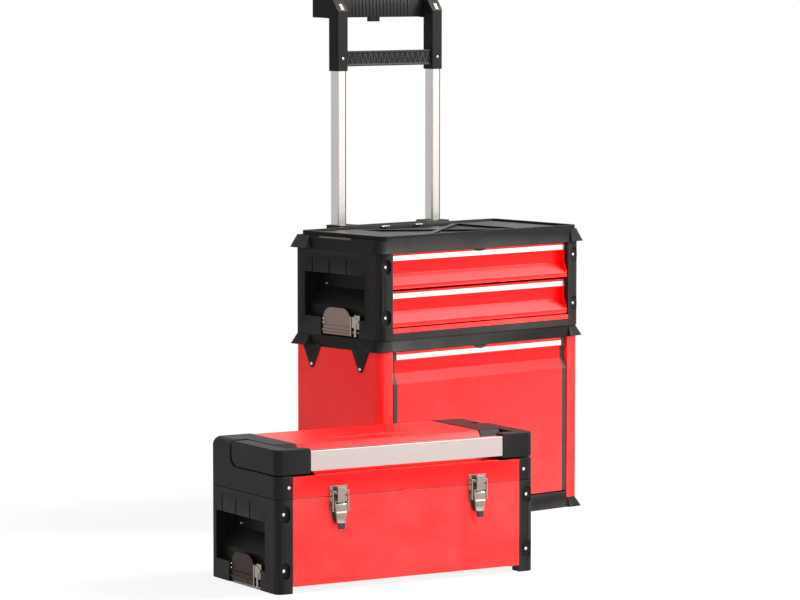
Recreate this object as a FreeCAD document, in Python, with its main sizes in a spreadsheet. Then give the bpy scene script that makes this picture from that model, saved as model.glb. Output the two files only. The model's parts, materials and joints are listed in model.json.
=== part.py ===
import FreeCAD, Part
import os
import re
import Sketcher

# Stackable tool trolley: a wheeled lower chest with a tilting bin, a lift-off chest with two drawers and
# a separate carrying box. Lengths are in millimetres. The origin is the centre of the lower chest's
# footprint on the floor, +X to the right as seen from the front, +Y to the back, +Z up.

# Sizes that can be set by themselves. "past" is how far a cutting shape reaches beyond the face it cuts.
SIZES = {
    # Outer sizes shared by the three modules
    "case_width": 470,
    "case_depth": 220,
    "sheet_metal": 1.5,
    "moulding": 3,
    "seat_gap": 0.3,
    "past": 1,
    "corner_round": 13,
    # Lower chest
    "column_width": 28,
    "column_return": 22,
    "floor_plate": 4,
    "frame_wall": 4,
    "frame_height": 18,
    "plinth_height": 29,
    "plinth_depth": 6,
    "shell_height": 288.5,
    "collar_height": 20.5,
    "collar_plate": 4,
    "collar_rim_height": 7,
    "collar_rim_inset": 7.5,
    "collar_rim_side": 18,
    "collar_rim_wall": 3,
    "ear_out": 12,
    "ear_forward": 5,
    "ear_length": 34,
    "ear_height": 18,
    "ear_front": 25,
    "ear_sweep": 62,
    "ear_flat": 9,
    "ear_round": 18,
    "tab_thickness": 2,
    "tab_width": 49,
    "tab_drop": 37,
    "tab_tip": 7,
    "tab_rear": 40,
    "tab_front": 169,
    "tab_screw_lift": 6,
    "screw_radius": 3.2,
    "screw_head": 1.4,
    # Tilting bin
    "bin_side_gap": 2.2,
    "bin_cap_width": 10,
    "bin_cap_depth": 14,
    "bin_bottom_gap": 2.4,
    "bin_top_gap": 0.8,
    "bin_lip_depth": 4.4,
    "bin_lip_height": 15,
    "bin_recess_depth": 8,
    "bin_recess_height": 21.4,
    "bin_slope_height": 18.6,
    "bin_face_depth": 0.7,
    "strip_height": 8.4,
    "strip_thickness": 1,
    "strip_drop": 5,
    "pivot_radius": 2.5,
    "pivot_clearance": 0.05,
    "pivot_depth": 5,
    "pivot_lift": 4.1,
    "tub_depth": 136,
    "tub_wall": 2,
    "tub_front_height": 255,
    "tub_rear_height": 232,
    "tub_side_gap": 9,
    # Wheels and axle
    "wheel_radius": 70,
    "wheel_width": 38,
    "wheel_gap": 5,
    "wheel_inset": 43,
    "tyre_height": 13,
    "tyre_crown": 4,
    "hub_web": 8,
    "hub_rim": 5,
    "hub_boss": 16,
    "axle_radius": 6,
    "axle_clearance": 0.05,
    "axle_end": 7,
    "axle_cap_radius": 13,
    "axle_cap_width": 5,
    "bracket_thickness": 5,
    "bracket_gap": 19,
    "bracket_height": 96,
    "bracket_boss": 14,
    # Telescopic handle
    "tube_x": 111.7,
    "tube_width": 24,
    "tube_depth": 24,
    "tube_round": 4,
    "tube_wall": 1.6,
    "tube_play": 0.4,
    "rail_wall": 1.5,
    "rail_standoff": 20.5,
    "rail_bottom": 62,
    "rail_clamp_height": 26,
    "rail_clamp_wall": 3.5,
    "rail_clamp_low": 96,
    "rail_clamp_high": 268,
    "guide_height": 9,
    "guide_rise": 2,
    "guide_reach": 17,
    "guide_front": 7.5,
    "tube_below": 62,
    "tube_shown": 272,
    "neck_width": 25.5,
    "neck_depth": 25.5,
    "neck_height": 106,
    "neck_bend": 13,
    "neck_round": 3.5,
    "head_height": 138,
    "head_back": 44.8,
    "head_under": 94,
    "crossbar_height": 27,
    "crossbar_lift": 8,
    "crossbar_depth": 17,
    "grip_front": 27.2,
    "button_width": 22,
    "button_depth": 10,
    "button_drop": 8,
    "button_inside": 14,
    "button_y": 47.2,
    "button_play": 0.4,
    "neck_plate_width": 16,
    "neck_plate_start": 1.5,
    "neck_plate_height": 11,
    "neck_plate_out": 1.2,
    "neck_screw_lift": 22,
    # Lift-off chest
    "chest_out": 1,
    "chest_column": 28.8,
    "chest_round": 15,
    "chest_sill": 12,
    "chest_rail": 7.5,
    "drawer_foot_gap": 2.5,
    "chest_plate": 3,
    "deck_height": 23.5,
    "deck_plate": 4,
    "deck_rim_height": 7,
    "deck_rim_inset": 6.6,
    "deck_rim_wall": 5,
    "deck_pad_width": 92,
    "deck_pad_height": 3.5,
    "deck_pad_gap": 12,
    "deck_rib_width": 9,
    "deck_round": 12,
    "catch_length": 84,
    "catch_rear": 62,
    "catch_height": 3.5,
    "catch_thickness": 1.5,
    "catch_below": 3,
    # Moulded end of a module, shared by the lift-off chest and the carrying box
    "groove_width": 2.5,
    "groove_depth": 1.5,
    "groove_first": 41,
    "groove_pitch": 45.5,
    "groove_height": 26,
    "hand_rear": 21,
    "hand_length": 159,
    "hand_top": 109,
    "hand_depth": 38,
    "hand_floor": 81,
    "hand_foot": 32,
    "hand_wall": 2,
    "bay_rear": 63,
    "bay_length": 102,
    "bay_depth": 13,
    "bay_ramp": 52,
    "end_wall": 3,
    "end_front_wall": 7,
    "pocket_width": 19,
    "pocket_height": 26,
    "pocket_depth": 4.5,
    "pocket_inset": 14.5,
    "chest_pocket_upper": 126,
    "chest_pocket_lower": 39,
    "box_pocket_upper": 124,
    "box_pocket_lower": 36,
    "hand_screw_up": 87,
    # Side latches
    "latch_length": 73,
    "latch_rear": 66,
    "latch_height": 47,
    "latch_thickness": 2.5,
    "latch_arch": 22,
    "latch_lift": 3,
    "latch_pivot_up": 10,
    "latch_pin_radius": 2,
    "latch_knuckle": 3.2,
    "latch_sunk": 3,
    "keeper_gap": 2,
    "keeper_length": 15,
    "keeper_height": 40,
    "keeper_thickness": 2,
    # Drawers
    "drawer_between": 4.5,
    "drawer_side_gap": 1.5,
    "drawer_top_gap": 1,
    "drawer_lip_depth": 9.1,
    "drawer_lip_height": 13.4,
    "drawer_recess_depth": 19.4,
    "drawer_recess_height": 22.1,
    "drawer_slope_height": 17.7,
    "drawer_nose_height": 7.3,
    "drawer_nose_depth": 2.4,
    "runner_space": 15,
    "drawer_tray_depth": 182,
    "drawer_tray_height": 44,
    "runner_height": 18,
    "runner_lift": 16,
    "runner_length": 176,
    "runner_gap": 0.4,
    # Carrying box, in its own frame
    "box_x": -530.5,
    "box_y": -431.5,
    "box_turn": -10.5,
    "box_column": 28,
    "box_base": 10.8,
    "box_side_height": 147.3,
    "seam": 0.4,
    "box_fold": 14,
    "lid_front_height": 35.5,
    "lid_height": 76.3,
    "lid_cap_inset": 40,
    "lid_scoop_back": 52,
    "lid_scoop_foot": 30,
    "lid_cap_rise": 1,
    "lid_back_round": 14,
    "lid_hinge_out": 3.4,
    "hinge_pin_radius": 2,
    "hinge_knuckle": 3,
    "hinge_length": 60,
    "hinge_x": 110,
    "arm_width": 28,
    "arm_rise": 1.8,
    "arm_height": 39.5,
    "arm_rear": 148,
    "arm_front_depth": 20,
    "arm_front_reach": 60,
    "arm_gap": 1.2,
    "arm_lower_round": 18,
    "arm_pivot_depth": 134,
    "arm_pivot_rise": 26,
    "arm_rear_gap": 4.5,
    "arm_pin_radius": 4,
    "arm_pin_length": 12,
    "bar_rise": 3.8,
    "bar_height": 31.7,
    "bar_thickness": 14,
    # Draw latches of the carrying box
    "draw_x": 126.7,
    "draw_plate_width": 31,
    "draw_plate": 1.2,
    "draw_base_drop": 1.3,
    "draw_base_height": 41,
    "draw_taper_drop": 23,
    "draw_foot_width": 16,
    "draw_keeper_rise": 1.3,
    "draw_keeper_height": 14.5,
    "draw_hook_out": 8,
    "draw_hook_height": 2,
    "draw_hook_rise": 3,
    "draw_pivot_drop": 12,
    "draw_pivot_out": 7.5,
    "draw_pin_radius": 1,
    "draw_lever_width": 20,
    "draw_knuckle": 2.5,
    "draw_lever_reach": 38,
    "draw_lever_sheet": 1.6,
    "draw_tip_width": 12,
    "draw_tip_height": 10,
    "draw_cheek_depth": 5,
    "draw_loop_wire": 1.1,
    "draw_loop_below": 9,
    "draw_loop_gap": 0.5,
}

# Places worked out from the sizes
PLACES = {
    "case_half": "case_width / 2",
    "front": "-case_depth / 2",
    "rear": "case_depth / 2",
    "opening_half": "case_half - column_width",
    "shell_top": "frame_height + shell_height",
    "collar_top": "shell_top + collar_height",
    "bin_half": "opening_half - bin_side_gap",
    "bin_red_half": "bin_half - bin_cap_width",
    "bin_bottom": "plinth_height + bin_bottom_gap",
    "bin_top": "shell_top - bin_top_gap",
    "bin_lip_low": "bin_top - bin_lip_height",
    "bin_recess_low": "bin_lip_low - bin_recess_height",
    "bin_slope_low": "bin_recess_low - bin_slope_height",
    "bin_back": "front + bin_cap_depth",
    "pivot_y": "front + pivot_depth",
    "pivot_z": "bin_bottom + pivot_lift",
    "tub_half": "bin_half - tub_side_gap",
    "axle_y": "rear + wheel_gap + wheel_radius",
    "tube_y": "rear + rail_standoff + rail_wall + tube_play + tube_depth / 2",
    "rail_width": "tube_width + 2 * tube_play + 2 * rail_wall",
    "rail_depth": "tube_depth + 2 * tube_play + 2 * rail_wall",
    "chest_half": "case_half + chest_out",
    "chest_front": "front - 2 * chest_out",
    "chest_opening": "chest_half - chest_column",
    "chest_floor": "collar_top",
    "chest_sill_top": "chest_floor + chest_sill",
    "chest_rail_top": "chest_sill_top + chest_rail",
    "drawer_face": "drawer_lip_height + drawer_recess_height + drawer_slope_height + drawer_nose_height",
    "drawer_pitch": "drawer_face + drawer_between",
    "drawer_lower_top": "chest_rail_top + drawer_foot_gap + drawer_face",
    "drawer_upper_top": "drawer_lower_top + drawer_pitch",
    "chest_top": "drawer_upper_top + drawer_top_gap",
    "chest_side_height": "chest_top - chest_floor",
    "deck_ledge": "chest_top + deck_height",
    "deck_top": "deck_ledge + deck_rim_height",
    "guide_bottom": "deck_top + guide_rise - guide_height",
    "guide_top": "guide_bottom + guide_height",
    "neck_bottom": "guide_top + tube_shown",
    "head_top": "neck_bottom + head_height",
    "head_low": "neck_bottom + head_under",
    "neck_front": "tube_y - neck_depth / 2",
    "neck_rear": "tube_y + neck_depth / 2",
    "head_rear": "neck_rear + head_back",
    "grip_front_y": "neck_front + grip_front",
    "neck_slope_low": "neck_bottom + neck_height",
    "neck_slope_rise": "head_height - neck_bend - neck_height",
    "drawer_half": "chest_opening - drawer_side_gap",
    "runner_wall": "chest_half - hand_depth - hand_wall",
    "drawer_tray_half": "runner_wall - runner_space",
    "wheel_inner": "case_half - wheel_inset",
    "bracket_x": "wheel_inner - bracket_gap - bracket_thickness",
    "box_opening": "case_half - box_column",
    "box_inner_half": "box_opening - box_fold",
    "lid_bottom": "box_side_height + seam",
    "lid_front_top": "lid_bottom + lid_front_height",
    "lid_top": "lid_bottom + lid_height",
    "lid_cap_top": "lid_top + lid_cap_rise",
    "lid_top_half": "box_opening - lid_cap_inset",
    "arm_inner": "case_half - arm_front_reach",
    "arm_bottom": "lid_front_top + arm_rise",
    "arm_top": "arm_bottom + arm_height",
    "arm_pivot_up": "arm_bottom + arm_pivot_rise",
    "bar_bottom": "arm_bottom + bar_rise",
    "bar_top": "bar_bottom + bar_height",
    "draw_base_top": "box_side_height - draw_base_drop",
    "draw_base_bottom": "draw_base_top - draw_base_height",
    "draw_keeper_bottom": "lid_bottom + draw_keeper_rise",
    "draw_keeper_top": "draw_keeper_bottom + draw_keeper_height",
    "draw_hook_up": "draw_keeper_bottom + draw_hook_rise",
    "draw_pivot_up": "draw_base_top - draw_pivot_drop",
    "draw_taper_up": "draw_base_top - draw_taper_drop",
    "draw_lever_tip": "draw_pivot_up - draw_lever_reach",
    "arm_half": "case_half",
    "arm_inside": "case_half - arm_width",
    "inner_round": "corner_round - sheet_metal",
    "tube_inner_round": "tube_round - tube_wall",
    "rail_round": "tube_round + rail_wall",
    "arm_floor": "arm_bottom - arm_gap",
    "hinge_y": "rear + lid_hinge_out",
    "hinge_z": "box_side_height + seam / 2",
    "draw_face": "front - draw_plate",
    "draw_pivot_y": "front - draw_pivot_out",
    "draw_loop_pivot": "draw_pivot_up - draw_loop_below",
    "draw_loop_top": "draw_hook_up + draw_hook_height + draw_loop_gap + draw_loop_wire",
}


# The sheets, and the expressions that read them
doc = FreeCAD.newDocument("ToolTrolley")
CELLS = {}


def fill_sheet(title, values):
    """Makes a sheet with one named cell a value."""
    sheet = doc.addObject("Spreadsheet::Sheet", title)
    for row, (alias, value) in enumerate(values.items(), 1):
        sheet.set(f"A{row}", alias)
        sheet.set(f"B{row}", value)
        sheet.setAlias(f"B{row}", alias)
        CELLS[alias] = f"{title}.{alias}"
    return sheet


def bound(text):
    """The expression with each named size or place given by its cell."""
    return re.sub(r"[A-Za-z_]+", lambda word: CELLS.get(word.group(0), word.group(0)), str(text))


sizes = fill_sheet("Sizes", {alias: str(value) for alias, value in SIZES.items()})
for place in PLACES:
    CELLS[place] = f"Places.{place}"
places = fill_sheet("Places", {alias: "=" + bound(text) for alias, text in PLACES.items()})
doc.recompute()

AXES = {
    "X": FreeCAD.Rotation(FreeCAD.Vector(1, 1, 1), 120),
    "Y": FreeCAD.Rotation(FreeCAD.Vector(1, 0, 0), 90),
    "Z": FreeCAD.Rotation(),
}


def set_base(item, x, y, z):
    """Binds where an object stands."""
    for letter, text in zip("xyz", (x, y, z)):
        item.setExpression(f"Placement.Base.{letter}", bound(text))


# Simple solids
def box(x, y, z):
    """Box between two places along each axis, given as pairs."""
    item = doc.addObject("Part::Box", "Block")
    for side, (low, high) in zip(("Length", "Width", "Height"), (x, y, z)):
        item.setExpression(side, bound(f"({high}) - ({low})"))
    set_base(item, x[0], y[0], z[0])
    return item


def rod(axis, centre, radius, span):
    """Round bar along an axis: centre is its place on the other two, span its two ends."""
    item = doc.addObject("Part::Cylinder", "Rod")
    item.setExpression("Radius", bound(radius))
    item.setExpression("Height", bound(f"({span[1]}) - ({span[0]})"))
    item.Placement.Rotation = AXES[axis]
    first, second = centre
    base = {"X": (span[0], first, second), "Y": (first, span[1], second), "Z": (first, second, span[0])}
    set_base(item, *base[axis])
    return item


def wedge(low, high, z):
    """Block whose footprint changes from low to high; each is ((x, x), (y, y))."""
    item = doc.addObject("Part::Wedge", "Flare")
    item.Placement.Rotation = AXES["Y"]
    for prefix, ((x_low, x_high), (y_low, y_high)) in (("", low), ("2", high)):
        item.setExpression(f"X{prefix}min", bound(x_low))
        item.setExpression(f"X{prefix}max", bound(x_high))
        item.setExpression(f"Z{prefix}min", bound(f"-({y_high})"))
        item.setExpression(f"Z{prefix}max", bound(f"-({y_low})"))
    item.setExpression("Ymin", bound(z[0]))
    item.setExpression("Ymax", bound(z[1]))
    return item


def outline(points, name="Outline"):
    """Closed sketch through the points, each held at its distances from the origin."""
    sketch = doc.addObject("Sketcher::SketchObject", name)
    draw(sketch, points)
    return sketch


def draw(sketch, points):
    """Adds the lines through the points to a sketch, with their constraints."""
    count = len(points)
    for index in range(count):
        start = FreeCAD.Vector(index, index * index, 0)
        after = (index + 1) % count
        sketch.addGeometry(Part.LineSegment(start, FreeCAD.Vector(after, after * after, 0)))
    for index in range(count):
        sketch.addConstraint(Sketcher.Constraint("Coincident", index, 2, (index + 1) % count, 1))
    for index, point in enumerate(points):
        for kind, text in zip(("DistanceX", "DistanceY"), point):
            number = sketch.addConstraint(Sketcher.Constraint(kind, -1, 1, index, 1, index + 1.0))
            sketch.setExpression(f"Constraints[{number}]", bound(text))


def prism(axis, span, points):
    """Straight solid along an axis; points are (Y, Z), (X, Z) or (X, Y) pairs for X, Y or Z."""
    sketch = outline(points)
    sketch.Placement.Rotation = AXES[axis]
    start = {"X": (span[0], 0, 0), "Y": (0, span[1], 0), "Z": (0, 0, span[0])}[axis]
    set_base(sketch, *start)
    item = doc.addObject("Part::Extrusion", "Profile")
    item.Base = sketch
    item.DirMode = "Normal"
    item.Solid = True
    item.setExpression("LengthFwd", bound(f"({span[1]}) - ({span[0]})"))
    return item


def fuse(*parts):
    """One solid of several."""
    if len(parts) == 1:
        return parts[0]
    item = doc.addObject("Part::MultiFuse", "Joined")
    item.Shapes = list(parts)
    item.Refine = True
    return item


def cut(base, *tools):
    """The base less the tools."""
    item = doc.addObject("Part::Cut", "Trimmed")
    item.Base = base
    item.Tool = fuse(*tools)
    item.Refine = True
    return item


def mirrored(source):
    """The same piece on the other side of the middle."""
    item = doc.addObject("Part::Mirroring", "Other")
    item.Source = source
    item.Normal = FreeCAD.Vector(1, 0, 0)
    return item


def both(source):
    """A piece and its mirror image, as two solids."""
    item = doc.addObject("Part::Compound", "Pair")
    item.Links = [source, mirrored(source)]
    return item


def rounded(base, radius, wanted):
    """Rounds the edges that wanted picks from the shape; radius is a named size or place."""
    doc.recompute()
    shape = base.Shape
    size = (sizes if radius in SIZES else places).get(radius)
    chosen = [(n, size, size) for n, edge in enumerate(shape.Edges, 1) if wanted(edge, shape.BoundBox)]
    item = doc.addObject("Part::Fillet", "Rounded")
    item.Base = base
    item.Edges = chosen
    return item


def runs_along(edge, axis):
    """Whether an edge is a straight line along an axis."""
    first = edge.Vertexes[0].Point
    last = edge.Vertexes[-1].Point
    reach = last - first
    return edge.Length > 0 and abs(abs(getattr(reach, axis)) - edge.Length) < 1e-6


def near(a, b):
    """Whether two coordinates are the same place."""
    return abs(a - b) < 1e-6


def upright_corner(edge, around):
    """Vertical edge at one of the four outer corners."""
    at = edge.CenterOfMass
    side = near(at.x, around.XMin) or near(at.x, around.XMax)
    end = near(at.y, around.YMin) or near(at.y, around.YMax)
    return runs_along(edge, "z") and side and end


def front_corner(edge, around):
    """Vertical edge at one of the two front corners."""
    return upright_corner(edge, around) and near(edge.CenterOfMass.y, around.YMin)


def left_front_corner(edge, around):
    """Vertical edge at the front corner on the left."""
    return front_corner(edge, around) and near(edge.CenterOfMass.x, around.XMin)


def flare_corner(edge, around):
    """Slanting edge at the front of a flare, on its left."""
    ends = sorted(edge.Vertexes, key=lambda spot: spot.Z)
    low, high = ends[0], ends[-1]
    return not near(low.Z, high.Z) and near(low.X, around.XMin) and near(low.Y, around.YMin)


def upright(edge, around):
    """Any edge that runs straight up."""
    return runs_along(edge, "z")


def rounded_block(x, y, z, radius, wanted=upright_corner):
    """Box with rounded upright corners."""
    return rounded(box(x, y, z), radius, wanted)


def tube_form(width, depth, radius, z):
    """Upright bar in the right tube's place with rounded corners: width along X, depth along Y."""
    x = (f"tube_x - ({width}) / 2", f"tube_x + ({width}) / 2")
    y = (f"tube_y - ({depth}) / 2", f"tube_y + ({depth}) / 2")
    return rounded_block(x, y, z, radius)


def new_body(name):
    """PartDesign body with a sketch-ready origin."""
    return doc.addObject("PartDesign::Body", name)


def base_plane(body, role):
    """One of the body's own origin planes."""
    return [item for item in body.Origin.OriginFeatures if item.Role == role][0]


def padded(points, length):
    """PartDesign body: a (Y, Z) outline padded to both sides of the middle."""
    body = new_body("Folded")
    sketch = body.newObject("Sketcher::SketchObject", "Section")
    sketch.AttachmentSupport = [(base_plane(body, "YZ_Plane"), "")]
    sketch.MapMode = "FlatFace"
    draw(sketch, points)
    pad = body.newObject("PartDesign::Pad", "Pad")
    pad.Profile = sketch
    pad.SideType = "Symmetric"
    pad.setExpression("Length", bound(length))
    return body


def turned(points, y, z):
    """PartDesign body: an (X, radius) outline turned about a line along X at the place (y, z)."""
    body = new_body("Turned")
    sketch = body.newObject("Sketcher::SketchObject", "Section")
    sketch.AttachmentSupport = [(base_plane(body, "XY_Plane"), "")]
    sketch.MapMode = "FlatFace"
    draw(sketch, points)
    ring = body.newObject("PartDesign::Revolution", "Turn")
    ring.Profile = sketch
    ring.ReferenceAxis = (sketch, ["H_Axis"])
    ring.Angle = 360
    set_base(body, 0, y, z)
    return body


NODES = []


def node(label, *parts, in_box=False):
    """Names a sub-part; one of the carrying box is set where the box stands."""
    item = doc.addObject("Part::Compound", label)
    item.Label = label
    item.Links = list(parts)
    if in_box:
        set_base(item, "box_x", "box_y", 0)
        item.Placement.Rotation = FreeCAD.Rotation(FreeCAD.Vector(0, 0, 1), 1)
        item.setExpression("Placement.Rotation.Angle", bound("box_turn"))
    NODES.append(item)
    return item


def screw(axis, centre, seat, outward):
    """Round screw head that stands out of its seat along an axis; outward is + or -."""
    ends = (seat, f"{seat} + screw_head") if outward == "+" else (f"{seat} - screw_head", seat)
    return rod(axis, centre, "screw_radius", ends)


# Lower chest
def ears(half, y_front, y_back, span):
    """Four flared corner skirts, wide at the bottom; the front ones fade out along the sides."""
    low_x = (f"-{half} - ear_out", f"-{half} + ear_front")
    high_x = (f"-{half}", f"-{half} + ear_front")
    front_low = (low_x, (f"{y_front} - ear_forward", f"{y_front} + ear_sweep"))
    front_high = (high_x, (y_front, f"{y_front} + ear_sweep"))
    rear_low = (low_x, (f"{y_back} - ear_length", f"{y_back} + ear_forward"))
    rear_high = (high_x, (f"{y_back} - ear_length", y_back))
    front = rounded(wedge(front_low, front_high, span), "ear_round", flare_corner)
    spare = prism("Z", (f"{span[0]} - past", f"{span[1]} + past"), [
        (f"-{half} - ear_out - past", f"{y_front} + ear_flat"), (f"-{half}", f"{y_front} + ear_sweep"),
        (f"-{half}", f"{y_front} + ear_sweep + past"),
        (f"-{half} - ear_out - past", f"{y_front} + ear_sweep + past")])
    front = cut(front, spare)
    sides = [front, wedge(rear_low, rear_high, span)]
    return sides + [mirrored(piece) for piece in sides]


def side_tab(centre):
    """Pointed tab of the collar that hangs over the left side, its tip cut off flat."""
    points = [
        (f"{centre} - tab_width / 2", "shell_top + collar_plate"),
        (f"{centre} - tab_tip / 2", "shell_top - tab_drop"),
        (f"{centre} + tab_tip / 2", "shell_top - tab_drop"),
        (f"{centre} + tab_width / 2", "shell_top + collar_plate"),
    ]
    return prism("X", ("-case_half - tab_thickness", "-case_half"), points)


def make_base_frame():
    """Moulded tray that the lower chest stands on, with its front rail and corner skirts."""
    frame = rounded_block(("-case_half", "case_half"), ("front", "rear"), (0, "frame_height"),
                          "corner_round")
    hollow = box(("-case_half + frame_wall", "case_half - frame_wall"),
                 ("front + frame_wall", "rear - frame_wall"), ("floor_plate", "frame_height + past"))
    skirts = ears("case_half", "front", "rear", (0, "ear_height"))
    rail = box(("-opening_half + seat_gap", "opening_half - seat_gap"),
               ("front", "front + plinth_depth"), ("floor_plate / 2", "plinth_height"))
    node("base_frame", fuse(cut(fuse(frame, *skirts), hollow), rail))


def make_lower_shell():
    """Sheet-metal wrap with two front columns, and the panel that closes the back."""
    tall = ("frame_height", "shell_top")
    past = ("frame_height - past", "shell_top + past")
    outer = rounded_block(("-case_half", "case_half"), ("front", "rear"), tall, "corner_round", front_corner)
    inner = rounded_block(("-case_half + sheet_metal", "case_half - sheet_metal"),
                          ("front + sheet_metal", "rear + past"), past, "inner_round", front_corner)
    mouth = box(("-opening_half", "opening_half"), ("front - past", "front + column_return"), past)
    fold = box(("-opening_half - sheet_metal", "-opening_half"),
               ("front + sheet_metal / 2", "front + column_return"), tall)
    hole = rod("X", ("pivot_y", "pivot_z"), "pivot_radius + pivot_clearance",
               ("-opening_half - 2 * sheet_metal", "-opening_half + sheet_metal"))
    fold = cut(fold, hole)
    node("lower_shell", fuse(cut(outer, inner, mouth), fold, mirrored(fold)))
    node("lower_back", box(("-case_half + sheet_metal", "case_half - sheet_metal"),
                           ("rear - moulding", "rear"), tall))


def make_collar():
    """Moulded cap of the lower chest: a locating rim on top, flared corners and side tabs."""
    band = rounded_block(("-case_half", "case_half"), ("front", "rear"),
                         ("shell_top", "collar_top"), "corner_round")
    hollow = box(("-case_half + moulding", "case_half - moulding"), ("front + moulding", "rear - moulding"),
                 ("shell_top - past", "collar_top - collar_plate"))
    skirts = ears("case_half", "front", "rear", ("shell_top + sheet_metal", "collar_top"))
    rim_x = "case_half - collar_rim_side"
    rim_z = ("collar_top - collar_plate", "collar_top + collar_rim_height")
    rim = box((f"-({rim_x})", rim_x), ("front + collar_rim_inset", "rear - collar_rim_inset"), rim_z)
    within = box((f"-({rim_x}) + collar_rim_wall", f"{rim_x} - collar_rim_wall"),
                 ("front + collar_rim_inset + collar_rim_wall", "rear - collar_rim_inset - collar_rim_wall"),
                 ("collar_top", "collar_top + 2 * collar_rim_height"))
    tabs = [side_tab("rear - tab_rear"), side_tab("rear - tab_front")]
    tabs += [mirrored(tab) for tab in tabs]
    body = cut(fuse(band, *skirts), hollow)
    node("top_collar", fuse(body, cut(rim, within), *tabs))
    heads = [screw("X", (f"rear - {place}", "shell_top - tab_drop + tab_screw_lift"),
                   "-case_half - tab_thickness", "-") for place in ("tab_rear", "tab_front")]
    node("collar_screws", *heads, *[mirrored(head) for head in heads])


def folded_door(depths, heights, back):
    """Points of a folded front: depths and heights go down from the top lip, then come back inside."""
    lip, recess, nose = depths
    top, lip_low, recess_low, slope_low, low = heights
    wall = "sheet_metal"
    return [
        (back, top), (lip, top), (lip, lip_low), (recess, lip_low), (recess, recess_low),
        (nose, slope_low), (nose, low), (back, low), (back, f"{low} + {wall}"),
        (f"{nose} + {wall}", f"{low} + {wall}"), (f"{nose} + {wall}", f"{slope_low} - {wall} / 2"),
        (f"{recess} + {wall}", f"{recess_low} - {wall} / 2"), (f"{recess} + {wall}", f"{lip_low} + {wall}"),
        (f"{lip} + {wall}", f"{lip_low} + {wall}"), (f"{lip} + {wall}", f"{top} - {wall}"),
        (back, f"{top} - {wall}"),
    ]


def make_bin():
    """Tilting bin: folded front, bright strip, moulded end caps with their pivots, and the tub."""
    depths = ("front + bin_lip_depth", "front + bin_recess_depth", "front + bin_face_depth")
    heights = ("bin_top", "bin_lip_low", "bin_recess_low", "bin_slope_low", "bin_bottom")
    node("bin_door", padded(folded_door(depths, heights, "bin_back"), "2 * bin_red_half"))
    node("bin_strip", box(("-bin_red_half", "bin_red_half"),
                          ("front + bin_lip_depth - strip_thickness", "front + bin_lip_depth"),
                          ("bin_top - strip_drop - strip_height", "bin_top - strip_drop")))
    lip, recess, nose = depths
    points = [("bin_back", "bin_top"), (lip, "bin_top"), (lip, "bin_lip_low"), (recess, "bin_lip_low"),
              (recess, "bin_recess_low"), (nose, "bin_slope_low"), (nose, "bin_bottom"),
              ("bin_back", "bin_bottom")]
    cap = prism("X", ("-bin_half", "-bin_red_half"), points)
    stub = rod("X", ("pivot_y", "pivot_z"), "pivot_radius",
               ("-opening_half - 2 * sheet_metal", "-bin_half + sheet_metal"))
    node("bin_end_caps", both(fuse(cap, stub)))
    tub_low = "bin_bottom"
    side = [("bin_back", tub_low), ("bin_back + tub_depth", f"{tub_low} + floor_plate"),
            ("bin_back + tub_depth", f"{tub_low} + tub_rear_height"),
            ("bin_back", f"{tub_low} + tub_front_height")]
    inside = [("bin_back + tub_wall", f"{tub_low} + tub_wall"),
              ("bin_back + tub_depth - tub_wall", f"{tub_low} + floor_plate + tub_wall"),
              ("bin_back + tub_depth - tub_wall", f"{tub_low} + 2 * tub_front_height"),
              ("bin_back + tub_wall", f"{tub_low} + 2 * tub_front_height")]
    block = prism("X", ("-tub_half", "tub_half"), side)
    room = prism("X", ("-tub_half + tub_wall", "tub_half - tub_wall"), inside)
    node("bin_tub", cut(block, room))


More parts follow.
